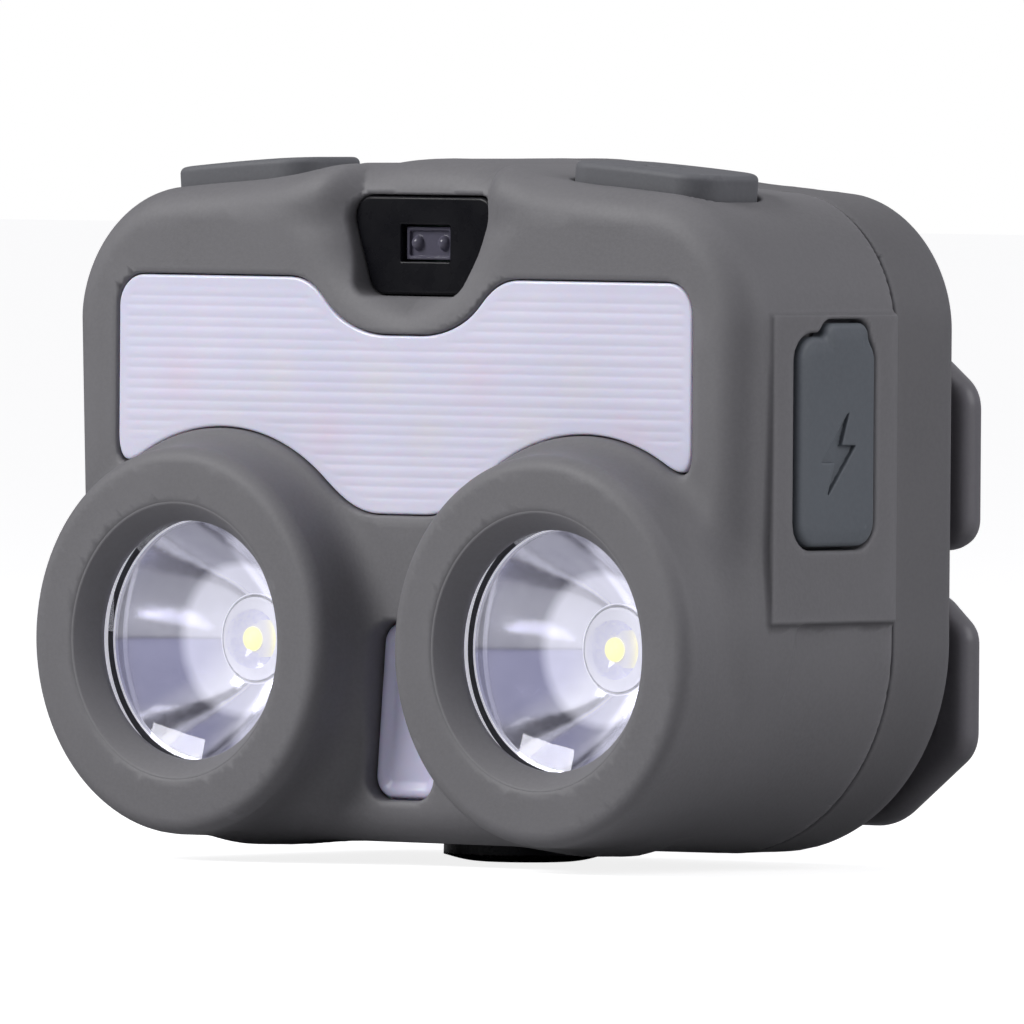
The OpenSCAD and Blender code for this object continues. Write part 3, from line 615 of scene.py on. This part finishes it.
def grow_mesh(name, field, low, high, voxel, adaptivity=0.0):
    """Meshes where the field is below 0 inside the box from low to high, in millimetres."""
    start = np.array(low, float) - 2.5 * voxel
    counts = np.ceil((np.array(high, float) - start) / voxel).astype(int) + 3
    axes = [start[i] + voxel * np.arange(counts[i]) for i in range(3)]
    x, y, z = np.meshgrid(*axes, indexing="ij", sparse=True)
    values = np.broadcast_to(field(x, y, z), counts).astype(np.float32)
    grid = openvdb.FloatGrid(float(4 * voxel))
    grid.copyFromArray(np.clip(values, -4 * voxel, 4 * voxel))
    points, triangles, quads = grid.convertToPolygons(isovalue=0.0, adaptivity=adaptivity)
    points = points.astype(float) * voxel + start
    points, normals = refine(field, points, voxel)
    faces = triangles.tolist() + quads.tolist()
    return mesh_object(name, points, faces, normals)


def turned(name, profile, centre, segments=128, closed=False):
    """A lathe piece about a spot lamp's axis, from radius and height forwards of the front face."""
    profile = np.array(profile, float)
    angles = np.linspace(0, 2 * math.pi, segments, endpoint=False)
    rings = []
    points = []
    for r, h in profile:
        if r < 1e-6:
            rings.append([len(points)] * segments)
            points.append((centre[0], FRONT_Y - h, centre[2]))
        else:
            rings.append(list(range(len(points), len(points) + segments)))
            for a in angles:
                points.append((centre[0] + r * math.cos(a), FRONT_Y - h, centre[2] + r * math.sin(a)))
    faces = []
    pairs = list(zip(rings, rings[1:]))
    if closed:
        pairs.append((rings[-1], rings[0]))
    for a, b in pairs:
        for k in range(segments):
            n = (k + 1) % segments
            corners = [a[k], a[n], b[n], b[k]]
            face = [c for i, c in enumerate(corners) if c not in corners[:i]]
            if len(face) > 2:
                faces.append(face)
    return mesh_object(name, np.array(points), faces)


def curve_points(start, end, count, shape):
    """Points of a curve at even steps from start to end."""
    return [shape(start + (end - start) * k / count) for k in range(count + 1)]


def place(piece, body, nodes, slot):
    """Sets the body a piece rides on, the CAD nodes it stands for and its material."""
    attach(piece, body)
    if nodes:
        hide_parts(*nodes)
    piece.data.materials.clear()
    piece.data.materials.append(finish_of(slot))
    return piece


# ---- materials ----

class Nodes:
    """Short calls for building a material's nodes."""

    def __init__(self, name):
        self.material = bpy.data.materials.new(name)
        self.material.use_nodes = True
        self.tree = self.material.node_tree
        self.shader = self.tree.nodes["Principled BSDF"]
        self.place = self.add("ShaderNodeTexCoord").outputs["Object"]

    def add(self, kind, **values):
        node = self.tree.nodes.new(kind)
        for key, value in values.items():
            setattr(node, key, value)
        return node

    def join(self, source, target):
        self.tree.links.new(source, target)

    def noise(self, size, detail=2.0, stretch=None, roughness=0.5):
        """Noise whose grains are about size millimetres across."""
        node = self.add("ShaderNodeTexNoise")
        node.inputs["Scale"].default_value = 1 / (size * MM)
        node.inputs["Detail"].default_value = detail
        node.inputs["Roughness"].default_value = roughness
        place = self.place
        if stretch:
            mapping = self.add("ShaderNodeMapping")
            mapping.inputs["Scale"].default_value = stretch
            self.join(place, mapping.inputs["Vector"])
            place = mapping.outputs["Vector"]
        self.join(place, node.inputs["Vector"])
        return node.outputs["Fac"]

    def between(self, factor, low, high, start=0.3, end=0.7):
        """A number from low to high as factor goes from start to end."""
        node = self.add("ShaderNodeMapRange")
        self.join(factor, node.inputs["Value"])
        node.inputs["From Min"].default_value = start
        node.inputs["From Max"].default_value = end
        node.inputs["To Min"].default_value = low
        node.inputs["To Max"].default_value = high
        return node.outputs["Result"]

    def mix(self, factor, a, b):
        """A colour from a to b; each is a colour or another node's output."""
        node = self.add("ShaderNodeMix", data_type="RGBA")
        self.join(factor, node.inputs["Factor"])
        for value, key in ((a, "A"), (b, "B")):
            socket = [s for s in node.inputs if s.name == key and s.type == "RGBA"][0]
            if isinstance(value, tuple):
                socket.default_value = (*value, 1)
            else:
                self.join(value, socket)
        return [s for s in node.outputs if s.type == "RGBA"][0]

    def attribute(self, name):
        node = self.add("ShaderNodeAttribute", attribute_name=name)
        return node.outputs["Fac"]

    def bump(self, height, depth, strength=1.0, under=None):
        """Relief of depth millimetres."""
        node = self.add("ShaderNodeBump")
        node.inputs["Strength"].default_value = strength
        node.inputs["Distance"].default_value = depth * MM
        self.join(height, node.inputs["Height"])
        if under is not None:
            self.join(under, node.inputs["Normal"])
        return node.outputs["Normal"]

    def set(self, **values):
        for key, value in values.items():
            socket = self.shader.inputs[key.replace("_", " ")]
            if isinstance(value, bpy.types.NodeSocket):
                self.join(value, socket)
            else:
                socket.default_value = (*value, 1) if isinstance(value, tuple) else value
        return self


def tint(colour, share):
    """A colour made darker or paler."""
    return tuple(min(1, c * share) for c in colour)


def moulded(name, colour, roughness, grain=0.22, depth=0.012, edge_highlight=0.06):
    """Moulded plastic or rubber: fine spark-eroded grain, faint cloudiness, and convex edges made paler as a
    painted highlight.
    """
    n = Nodes(name)
    cloud = n.noise(9, 3)
    speck = n.noise(0.35, 2)
    base = n.mix(n.between(cloud, 0, 1), tint(colour, 0.95), tint(colour, 1.05))
    base = n.mix(n.between(speck, 0, 0.5, 0.35, 0.65), base, tint(colour, 1.12))
    if edge_highlight:
        # Convex edges are mixed towards a paler grey: a painted highlight where the edges catch the light.
        highlit_edges = n.add("ShaderNodeNewGeometry").outputs["Pointiness"]
        base = n.mix(n.between(highlit_edges, 0, edge_highlight * 4, 0.505, 0.56), base, tint(colour, 1.7))
    fine = n.bump(n.noise(grain, 2), depth)
    rough = n.between(cloud, roughness - 0.04, roughness + 0.04)
    n.set(Base_Color=base, Roughness=rough, Normal=n.bump(n.noise(2.5, 2), 0.01, 0.6, fine))
    return n


def metal(name, colour, roughness, brushed=None, spots=0.3):
    """Metal with faint brushing or a soft cast look."""
    n = Nodes(name)
    streak = n.noise(spots, 3, stretch=brushed)
    base = n.mix(n.between(streak, 0, 1), tint(colour, 0.92), tint(colour, 1.04))
    n.set(Base_Color=base, Metallic=1.0, Roughness=n.between(streak, roughness * 0.8, roughness * 1.25),
          Normal=n.bump(streak, 0.004))
    return n


def board(name, colour):
    """Circuit board: solder mask over faint tracks."""
    n = Nodes(name)
    tracks = n.add("ShaderNodeTexBrick")
    tracks.inputs["Scale"].default_value = 350
    tracks.inputs["Mortar Size"].default_value = 0.012
    tracks.inputs["Color1"].default_value = (1, 1, 1, 1)
    tracks.inputs["Color2"].default_value = (0.8, 0.8, 0.8, 1)
    turn = n.add("ShaderNodeMapping")
    turn.inputs["Rotation"].default_value = (math.pi / 2, 0, 0)
    n.join(n.place, turn.inputs["Vector"])
    n.join(turn.outputs["Vector"], tracks.inputs["Vector"])
    base = n.mix(tracks.outputs["Fac"], colour, tint(colour, 0.7))
    base = n.mix(n.between(n.noise(3, 2), 0, 0.4), base, tint(colour, 1.15))
    n.set(Base_Color=base, Roughness=0.35, Normal=n.bump(tracks.outputs["Fac"], 0.02))
    return n


def clear(name, colour, share, roughness=0.03, metallic=1.0):
    """Clear plastic that lets lamps through: a glossy coat over a see-through layer."""
    n = Nodes(name)
    see = n.add("ShaderNodeBsdfTransparent")
    haze = n.mix(n.between(n.noise(6, 2), 0, 1), tint(colour, 0.985), colour)
    n.join(haze, see.inputs["Color"])
    fresnel = n.add("ShaderNodeFresnel")
    fresnel.inputs["IOR"].default_value = 1.5
    front = n.between(n.add("ShaderNodeNewGeometry").outputs["Backfacing"], 1, 0, 0, 1)
    amount = n.add("ShaderNodeMath", operation="MULTIPLY_ADD")
    n.join(fresnel.outputs["Fac"], amount.inputs[0])
    n.join(front, amount.inputs[1])
    amount.inputs[2].default_value = share
    mixed = n.add("ShaderNodeMixShader")
    n.join(amount.outputs[0], mixed.inputs["Fac"])
    n.join(see.outputs[0], mixed.inputs[1])
    n.join(n.shader.outputs[0], mixed.inputs[2])
    n.join(mixed.outputs[0], n.tree.nodes["Material Output"].inputs["Surface"])
    n.set(Base_Color=colour, Roughness=n.between(n.noise(2, 2), roughness * 0.7, roughness * 1.4),
          Metallic=metallic)
    return n


def frosted(name, colour, deep, warm=False):
    """Frosted window: a milky body with light and dark where it is thick and thin."""
    n = Nodes(name)
    base = n.mix(n.between(n.noise(14, 2), 0, 1), deep, colour)
    if warm:
        base = n.mix(n.attribute("red"), base, (0.86, 0.60, 0.72))
        base = n.mix(n.attribute("warm"), base, (0.84, 0.80, 0.70))
    n.set(Base_Color=base, Roughness=n.between(n.noise(0.4, 2), 0.30, 0.42),
          Subsurface_Weight=0.25, Subsurface_Scale=0.001, Normal=n.bump(n.noise(0.3, 2), 0.006),
          Coat_Weight=0.25, Coat_Roughness=0.15)
    return n


def chrome():
    """Vacuum-metallised bowl: bright with faint orange peel, and a painted glow near its bottom that stands
    in for the emitter's light reflected there.
    """
    n = Nodes("reflector_chrome")
    peel = n.noise(2.2, 1)
    split = n.add("ShaderNodeSeparateXYZ")
    n.join(n.place, split.inputs[0])
    # Painted glow: the bowl itself emits light towards its bottom.
    deep = n.between(split.outputs["Y"], 0, 0.42, (FRONT_Y + 2.2) * MM, (FRONT_Y + 2.9) * MM)
    base = n.mix(n.between(peel, 0, 1), (0.86, 0.86, 0.90), (0.93, 0.93, 0.96))
    n.set(Base_Color=base, Metallic=1.0, Roughness=n.between(n.noise(0.5, 2), 0.09, 0.13),
          Normal=n.bump(peel, 0.012), Emission_Color=(0.92, 0.92, 1.0), Emission_Strength=deep)
    return n


def glowing(name, colour, strength):
    """Phosphor: a pale face with a faint painted glow."""
    n = Nodes(name)
    base = n.mix(n.between(n.noise(0.3, 2), 0, 1), tint(colour, 0.92), colour)
    # The emission is a painted glow.
    n.set(Base_Color=base, Roughness=0.5, Emission_Color=base, Emission_Strength=strength)
    return n


def gloss_black():
    """Smooth black plastic, almost without a reflection."""
    n = Nodes("gloss_black")
    base = n.mix(n.between(n.noise(5, 2), 0, 1), (0.004, 0.004, 0.006), (0.008, 0.008, 0.010))
    n.set(Base_Color=base, Roughness=n.between(n.noise(1.5, 2), 0.24, 0.32),
          Normal=n.bump(n.noise(3, 1), 0.003), Specular_IOR_Level=0.15)
    return n


BODY = (0.150, 0.147, 0.156)
MAKERS = {
    "body_gray": lambda: moulded("body_gray", BODY, 0.62),
    # The rear cover takes the body's grey at 0.8: painted shade, for its sides turning away from the light.
    "cover_gray": lambda: moulded("cover_gray", tint(BODY, 0.80), 0.62),
    "bracket_gray": lambda: moulded("bracket_gray", (0.125, 0.120, 0.132), 0.42, 0.3, 0.008),
    "button_rubber": lambda: moulded("button_rubber", (0.112, 0.114, 0.125), 0.66, 0.25),
    "flap_rubber": lambda: moulded("flap_rubber", (0.098, 0.110, 0.126), 0.55, 0.3, 0.01),
    "seal_rubber": lambda: moulded("seal_rubber", (0.02, 0.02, 0.022), 0.6),
    "foam": lambda: moulded("foam", (0.035, 0.035, 0.04), 0.9, 0.5, 0.08, 0),
    "gloss_black": gloss_black,
    "lens_clear": lambda: clear("lens_clear", (0.975, 0.975, 1.0), 0.0, 0.02),
    "sensor_clear": lambda: clear("sensor_clear", (0.20, 0.19, 0.26), 0.42, 0.08, 0.0),
    "reflector_chrome": chrome,
    "led_white": lambda: glowing("led_white", (0.88, 0.88, 0.92), 0.45),
    "led_yellow": lambda: glowing("led_yellow", (0.95, 0.90, 0.45), 0.9),
    "board_white": lambda: board("board_white", (0.80, 0.80, 0.79)),
    "board_green": lambda: board("board_green", (0.02, 0.14, 0.05)),
    "chip_black": lambda: moulded("chip_black", (0.02, 0.02, 0.022), 0.5, 0.2, 0.006),
    "white_plastic": lambda: moulded("white_plastic", (0.82, 0.82, 0.83), 0.5),
    "diffuser": lambda: frosted("diffuser", (0.80, 0.78, 0.94), (0.75, 0.74, 0.91), True),
    "diffuser_low": lambda: frosted("diffuser_low", (0.72, 0.70, 0.90), (0.62, 0.61, 0.82)),
    "aluminium": lambda: metal("aluminium", (0.80, 0.81, 0.83), 0.35, (1, 1, 12)),
    "steel": lambda: metal("steel", (0.62, 0.62, 0.64), 0.25),
    "socket_steel": lambda: metal("socket_steel", (0.66, 0.66, 0.68), 0.3, (1, 8, 8)),
    "magnet_nickel": lambda: metal("magnet_nickel", (0.72, 0.70, 0.66), 0.15),
    "brass": lambda: metal("brass", (0.80, 0.60, 0.25), 0.3),
    "battery_foil": lambda: metal("battery_foil", (0.70, 0.71, 0.76), 0.4, None, 2),
    "wire_red": lambda: moulded("wire_red", (0.45, 0.02, 0.02), 0.45, 0.4, 0.006),
}
finishes = {}


def finish_of(slot):
    """The material for one of the record's slots, made once."""
    if slot not in finishes:
        finishes[slot] = MAKERS[slot]().material
    return finishes[slot]


def dress_cad_nodes():
    """Each CAD node that stays in view gets its slot's material."""
    for part in frame["record"]["subparts"]:
        piece = frame["nodes"][part["node"]]
        piece.data.materials.clear()
        piece.data.materials.append(finish_of(part["material_slot"]))


# ---- pieces ----

def make_casing():
    front = grow_mesh("front_shell", front_shell, HOUSING_LOW, HOUSING_HIGH, 0.33, 0.008)
    place(front, "lamp", ["front_housing"], "body_gray")
    rear = grow_mesh("rear_shell", rear_shell, COVER_LOW, COVER_HIGH, 0.36, 0.008)
    place(rear, "lamp", ["rear_cover"], "cover_gray")


FLOOD_LED_COUNT = 10
FLOOD_LED_HALF = 1.4


def add_spots(piece):
    """Marks on the flood window where the emitters behind it show through, warm white or red."""
    points = np.array([v.co for v in piece.data.vertices]) / MM
    marks = {"warm": np.zeros(len(points)), "red": np.zeros(len(points))}
    low, high = span("flood_leds")
    pitch = (high[0] - low[0] - 2 * FLOOD_LED_HALF) / (FLOOD_LED_COUNT - 1)
    for k in range(FLOOD_LED_COUNT):
        x = low[0] + FLOOD_LED_HALF + pitch * k
        z = high[2] - FLOOD_LED_HALF if k % 2 == 0 else low[2] + FLOOD_LED_HALF
        near = np.exp(-((points[:, 0] - x) ** 2 + (points[:, 2] - z) ** 2) / (2 * 1.5 ** 2))
        name = "red" if k % 3 == 0 else "warm"
        marks[name] = np.maximum(marks[name], 0.22 * near)
    for name, values in marks.items():
        layer = piece.data.attributes.new(name, "FLOAT", "POINT")
        layer.data.foreach_set("value", values.astype(np.float32))


def make_windows():
    flood = grow_mesh("flood_window", diffuser, DIFFUSER_LOW, DIFFUSER_HIGH, 0.19, 0.0)
    place(flood, "lamp", ["flood_diffuser"], "diffuser")
    add_spots(flood)
    small = grow_mesh("small_window", low_window, LOW_WINDOW_LOW, LOW_WINDOW_HIGH, 0.15)
    place(small, "lamp", ["lower_window"], "diffuser_low")
    panel = grow_mesh("sensor_window", sensor_window, PANEL_LOW, PANEL_HIGH, 0.12)
    place(panel, "lamp", ["sensor_panel"], "gloss_black")
    eyes = grow_mesh("sensor_eyes", sensor_body, EYE_LOW, EYE_HIGH, 0.08)
    place(eyes, "lamp", ["ir_sensor"], "sensor_clear")


def make_buttons():
    for name, side in SIDES.items():
        low, high = span("button_" + name)
        icon = waves if side == LEFT else None
        cap = grow_mesh("button_cap_" + name, button_cap(side, icon), low, high, 0.14)
        place(cap, "button_" + name, ["button_" + name], "button_rubber")


def make_flap():
    flap = grow_mesh("port_cover", port_cover, FLAP_LOW, FLAP_HIGH, 0.12)
    place(flap, "flap", ["usb_flap"], "flap_rubber")


def make_bracket():
    plate = grow_mesh("bracket_plate", bracket_plate, BRACKET_LOW, BRACKET_HIGH, 0.3)
    place(plate, "bracket", ["strap_bracket"], "bracket_gray")


FOOT_FLANGE = 0.9
FOOT_FLANGE_Z = 3.4
FOOT_DISC_TOP = 3.45
FOOT_FLOOR = 0.9
MAGNET_R = 5.05


def foot_field(x, y, z):
    """The round foot: a flange at the top, a fine ring underneath and a pocket for the magnet."""
    r = np.hypot(x, y)
    rim = FOOT_HIGH[0] - FOOT_FLANGE
    side = np.maximum(r - rim, -edge(r, z, (rim - 0.5, 0.45), (4.5, 0)))
    disc = both(side, slab(z, 0, FOOT_DISC_TOP), 0.35)
    ring = np.maximum(np.abs(r - 5.6) - 0.12, z - 0.1)
    disc = cut(disc, ring, 0.1)
    flange = np.maximum(r - FOOT_HIGH[0] + 0.02, slab(z, FOOT_FLANGE_Z, FOOT_HIGH[2]))
    return cut(np.minimum(disc, flange), np.maximum(r - MAGNET_R, FOOT_FLOOR - z))


def make_foot():
    foot = grow_mesh("foot_disc", foot_field, FOOT_LOW, FOOT_HIGH, 0.18)
    place(foot, "lamp", ["magnet_foot"], "gloss_black")


FOCAL = 3.27
MOUTH_R = 9.75
HOLE_R = 3.6
MOUTH_H = FRONT_Y - REFLECTOR_LOW[1]
VERTEX_H = MOUTH_H - MOUTH_R ** 2 / (4 * FOCAL)
LENS_THICK = LENS_HIGH[1] - LENS_LOW[1]
EMITTER_H = FRONT_Y - LED_HIGH[1]
DOME_R = 2.45
DOME_RISE = 1.95


def make_lens(name, centre):
    """The clear disc, and a glowing ring round its edge: a painted highlight of the lens edge catching the
    light.
    """
    top = SEAT_H
    low = top - LENS_THICK
    lens = turned("lens_glass_" + name, [
        (0, top), (SEAT_R - 0.25, top), (SEAT_R - 0.02, top - 0.23), (SEAT_R - 0.02, low + 0.2),
        (SEAT_R - 0.22, low), (0, low)], centre)
    place(lens, "lamp", ["spot_lens_" + name], "lens_clear")
    # A glowing ring in the led_white finish: painted highlight where the lens edge catches the light.
    ring = turned("painted_lens_highlight_" + name, [
        (SEAT_R - 0.04, top - 0.2), (SEAT_R - 0.04, low - 0.08), (MOUTH_R + 0.05, low - 0.08),
        (MOUTH_R + 0.05, low - 0.03), (SEAT_R - 0.3, low), (SEAT_R - 0.3, top - 0.2)],
        centre, closed=True)
    place(ring, "lamp", [], "led_white")


def make_funnel(name, centre):
    """A smooth lining of the barrel's open front and its lip."""
    lining = turned("funnel_" + name, [
        (11.5, RIM_H - 0.2), (11.3, RIM_H - 0.1), (11.1, RIM_H - 0.2), (9.92, 3.76), (9.8, 3.62),
        (9.75, 3.5), (9.75, 3.22), (9.82, 3.12), (10.5, 3.12), (10.9, 3.8), (11.6, RIM_H - 0.6)],
        centre, 160, closed=True)
    place(lining, "lamp", [], "body_gray")


def bowl_height(r):
    return VERTEX_H + r * r / (4 * FOCAL)


def make_bowl(name, centre):
    """The parabolic reflector, open at the bottom for the emitter."""
    bowl = curve_points(HOLE_R, MOUTH_R, 48, lambda r: (r, bowl_height(r)))
    back = curve_points(MOUTH_R - 1.2, HOLE_R, 24, lambda r: (r + 0.7, bowl_height(r)))
    rim = [(SEAT_R - 0.05, MOUTH_H), (SEAT_R - 0.05, MOUTH_H - 1.15)]
    shell = turned("reflector_bowl_" + name, bowl + rim + back, centre, 160, closed=True)
    place(shell, "lamp", ["spot_reflector_" + name], "reflector_chrome")


def make_emitter(name, centre):
    """White base, yellow phosphor and the clear dome over it."""
    low = EMITTER_H
    base = turned("emitter_base_" + name, [
        (0, low + 0.3), (3.25, low + 0.3), (3.4, low + 0.15), (3.4, low), (0, low)], centre)
    place(base, "lamp", ["spot_led_" + name], "led_white")
    chip = turned("phosphor_" + name, [
        (0, low + 0.55), (0.95, low + 0.5), (1.0, low + 0.31), (0, low + 0.31)], centre)
    place(chip, "lamp", [], "led_yellow")
    dome = curve_points(
        math.pi / 2, 0, 20, lambda a: (DOME_R * math.cos(a), low + 0.31 + DOME_RISE * math.sin(a)))
    dome_piece = turned("emitter_dome_" + name, dome + [(0, low + 0.31)], centre)
    place(dome_piece, "lamp", [], "lens_clear")


def make_lamp(name, side):
    centre = (side * SPOT_X, FRONT_Y, SPOT_Z)
    make_lens(name, centre)
    make_funnel(name, centre)
    make_bowl(name, centre)
    make_emitter(name, centre)


def make_stage():
    """A plain pale floor that looks white to the camera, so that it runs on into the white behind it."""
    mesh = bpy.data.meshes.new("floor")
    half = 4.0
    corners = [(-half, -half, 0), (half, -half, 0), (half, half, 0), (-half, half, 0)]
    mesh.from_pydata(corners, [], [(0, 1, 2, 3)])
    floor = bpy.data.objects.new("floor", mesh)
    floor.location.z = FOOT_LOW[2] * MM - 0.0001
    bpy.context.scene.collection.objects.link(floor)
    n = Nodes("floor_paper")
    base = n.mix(n.between(n.noise(40, 2), 0, 1), (0.44, 0.44, 0.45), (0.46, 0.46, 0.47))
    seen = n.add("ShaderNodeLightPath").outputs["Is Camera Ray"]
    n.set(Base_Color=base, Roughness=0.8, Emission_Color=(1.0, 1.0, 1.0),
          Emission_Strength=n.between(seen, 0, 0.85, 0, 1))
    mesh.materials.append(n.material)


def make_camera():
    """A long lens, a little above the lamp and well round to its left."""
    turn, rise, roll = (math.radians(a) for a in (41.25, 1.535, 0.401))
    distance, lens = 1.9988, 865.7
    aim_across, aim_up = 9.09, 10.86
    look = Vector((-math.sin(turn) * math.cos(rise), math.cos(turn) * math.cos(rise), -math.sin(rise)))
    across = Vector((math.cos(turn), math.sin(turn), 0))
    up = across.cross(look)
    origin = Vector((0, FRONT_Y, SPOT_Z)) * MM
    aim = origin + (across * aim_across + up * aim_up) * MM
    where = origin - look * distance
    look = (aim - where).normalized()
    tilted = across * math.cos(roll) + up * math.sin(roll)
    right = (tilted - look * tilted.dot(look)).normalized()
    up = right.cross(look)
    data = bpy.data.cameras.new("camera")
    data.lens = lens
    data.sensor_width = 36
    data.clip_start, data.clip_end = 0.1, 20
    camera = bpy.data.objects.new("camera", data)
    bpy.context.scene.collection.objects.link(camera)
    camera.matrix_world = Matrix.Translation(where) @ Matrix((right, up, -look)).transposed().to_4x4()
    bpy.context.scene.camera = camera


def area_light(name, azimuth, elevation, distance, size, power, colour=(1, 1, 1)):
    """A soft light aimed at the lamp, placed by its bearing round it: 0 is in front, 90 to its left."""
    a, e = math.radians(azimuth), math.radians(elevation)
    back = Vector((math.sin(a) * math.cos(e), -math.cos(a) * math.cos(e), math.sin(e)))
    data = bpy.data.lights.new(name, "AREA")
    data.shape = "RECTANGLE"
    data.size, data.size_y = size
    data.energy = power
    data.color = colour
    light = bpy.data.objects.new(name, data)
    light.location = Vector((0, 0, 0.03)) + back * distance
    light.rotation_mode = "QUATERNION"
    light.rotation_quaternion = (-back).to_track_quat("-Z", "Y")
    light.visible_camera = False
    bpy.context.scene.collection.objects.link(light)


def world_share(tree, source, low, high):
    """0 where source is low, 1 where it is high."""
    node = tree.nodes.new("ShaderNodeMapRange")
    node.inputs["From Min"].default_value = low
    node.inputs["From Max"].default_value = high
    tree.links.new(source, node.inputs["Value"])
    return node.outputs["Result"]


def world_mix(tree, factor, under, over):
    """A colour from under to over; each is a colour or another node's output."""
    node = tree.nodes.new("ShaderNodeMix")
    node.data_type = "RGBA"
    tree.links.new(factor, node.inputs["Factor"])
    colours = [socket for socket in node.inputs if socket.type == "RGBA"]
    for value, socket in zip((under, over), colours):
        if isinstance(value, tuple):
            socket.default_value = (*value, 1)
        else:
            tree.links.new(value, socket)
    return [socket for socket in node.outputs if socket.type == "RGBA"][0]


def make_world():
    """A dim studio, white to the camera; in reflections, lavender on the lamp's left, dark on its right."""
    world = bpy.data.worlds.new("studio")
    bpy.context.scene.world = world
    world.use_nodes = True
    tree = world.node_tree
    place = tree.nodes.new("ShaderNodeTexCoord")
    split = tree.nodes.new("ShaderNodeSeparateXYZ")
    tree.links.new(place.outputs["Generated"], split.inputs[0])
    left, up = split.outputs["X"], split.outputs["Z"]
    room = world_mix(tree, world_share(tree, up, -0.4, 1.0), (0.01, 0.01, 0.012), (0.22, 0.22, 0.23))
    mirror = world_mix(tree, world_share(tree, up, -0.5, 1.0), (0.20, 0.20, 0.22), (0.75, 0.75, 0.77))
    mirror = world_mix(tree, world_share(tree, left, 0.0, 0.5), mirror, (0.34, 0.34, 0.45))
    mirror = world_mix(tree, world_share(tree, left, -0.45, -0.75), mirror, (0.02, 0.02, 0.03))
    path = tree.nodes.new("ShaderNodeLightPath")
    colour = world_mix(tree, path.outputs["Is Glossy Ray"], room, mirror)
    colour = world_mix(tree, path.outputs["Is Camera Ray"], colour, (1.0, 1.0, 1.0))
    tree.links.new(colour, tree.nodes["Background"].inputs["Color"])


def make_lights():
    make_world()
    area_light("key", -35, 34, 0.7, (0.3, 0.3), 4.0)
    area_light("side", 108, 28, 0.7, (0.35, 0.5), 2.2)
    area_light("top", 10, 85, 0.7, (0.5, 0.5), 0.6)
    bpy.context.scene.view_settings.view_transform = "Standard"


make_camera()
dress_cad_nodes()
make_casing()
make_windows()
make_buttons()
make_flap()
make_bracket()
make_foot()
for lamp_name, lamp_side in SIDES.items():
    make_lamp(lamp_name, lamp_side)
make_stage()
make_lights()
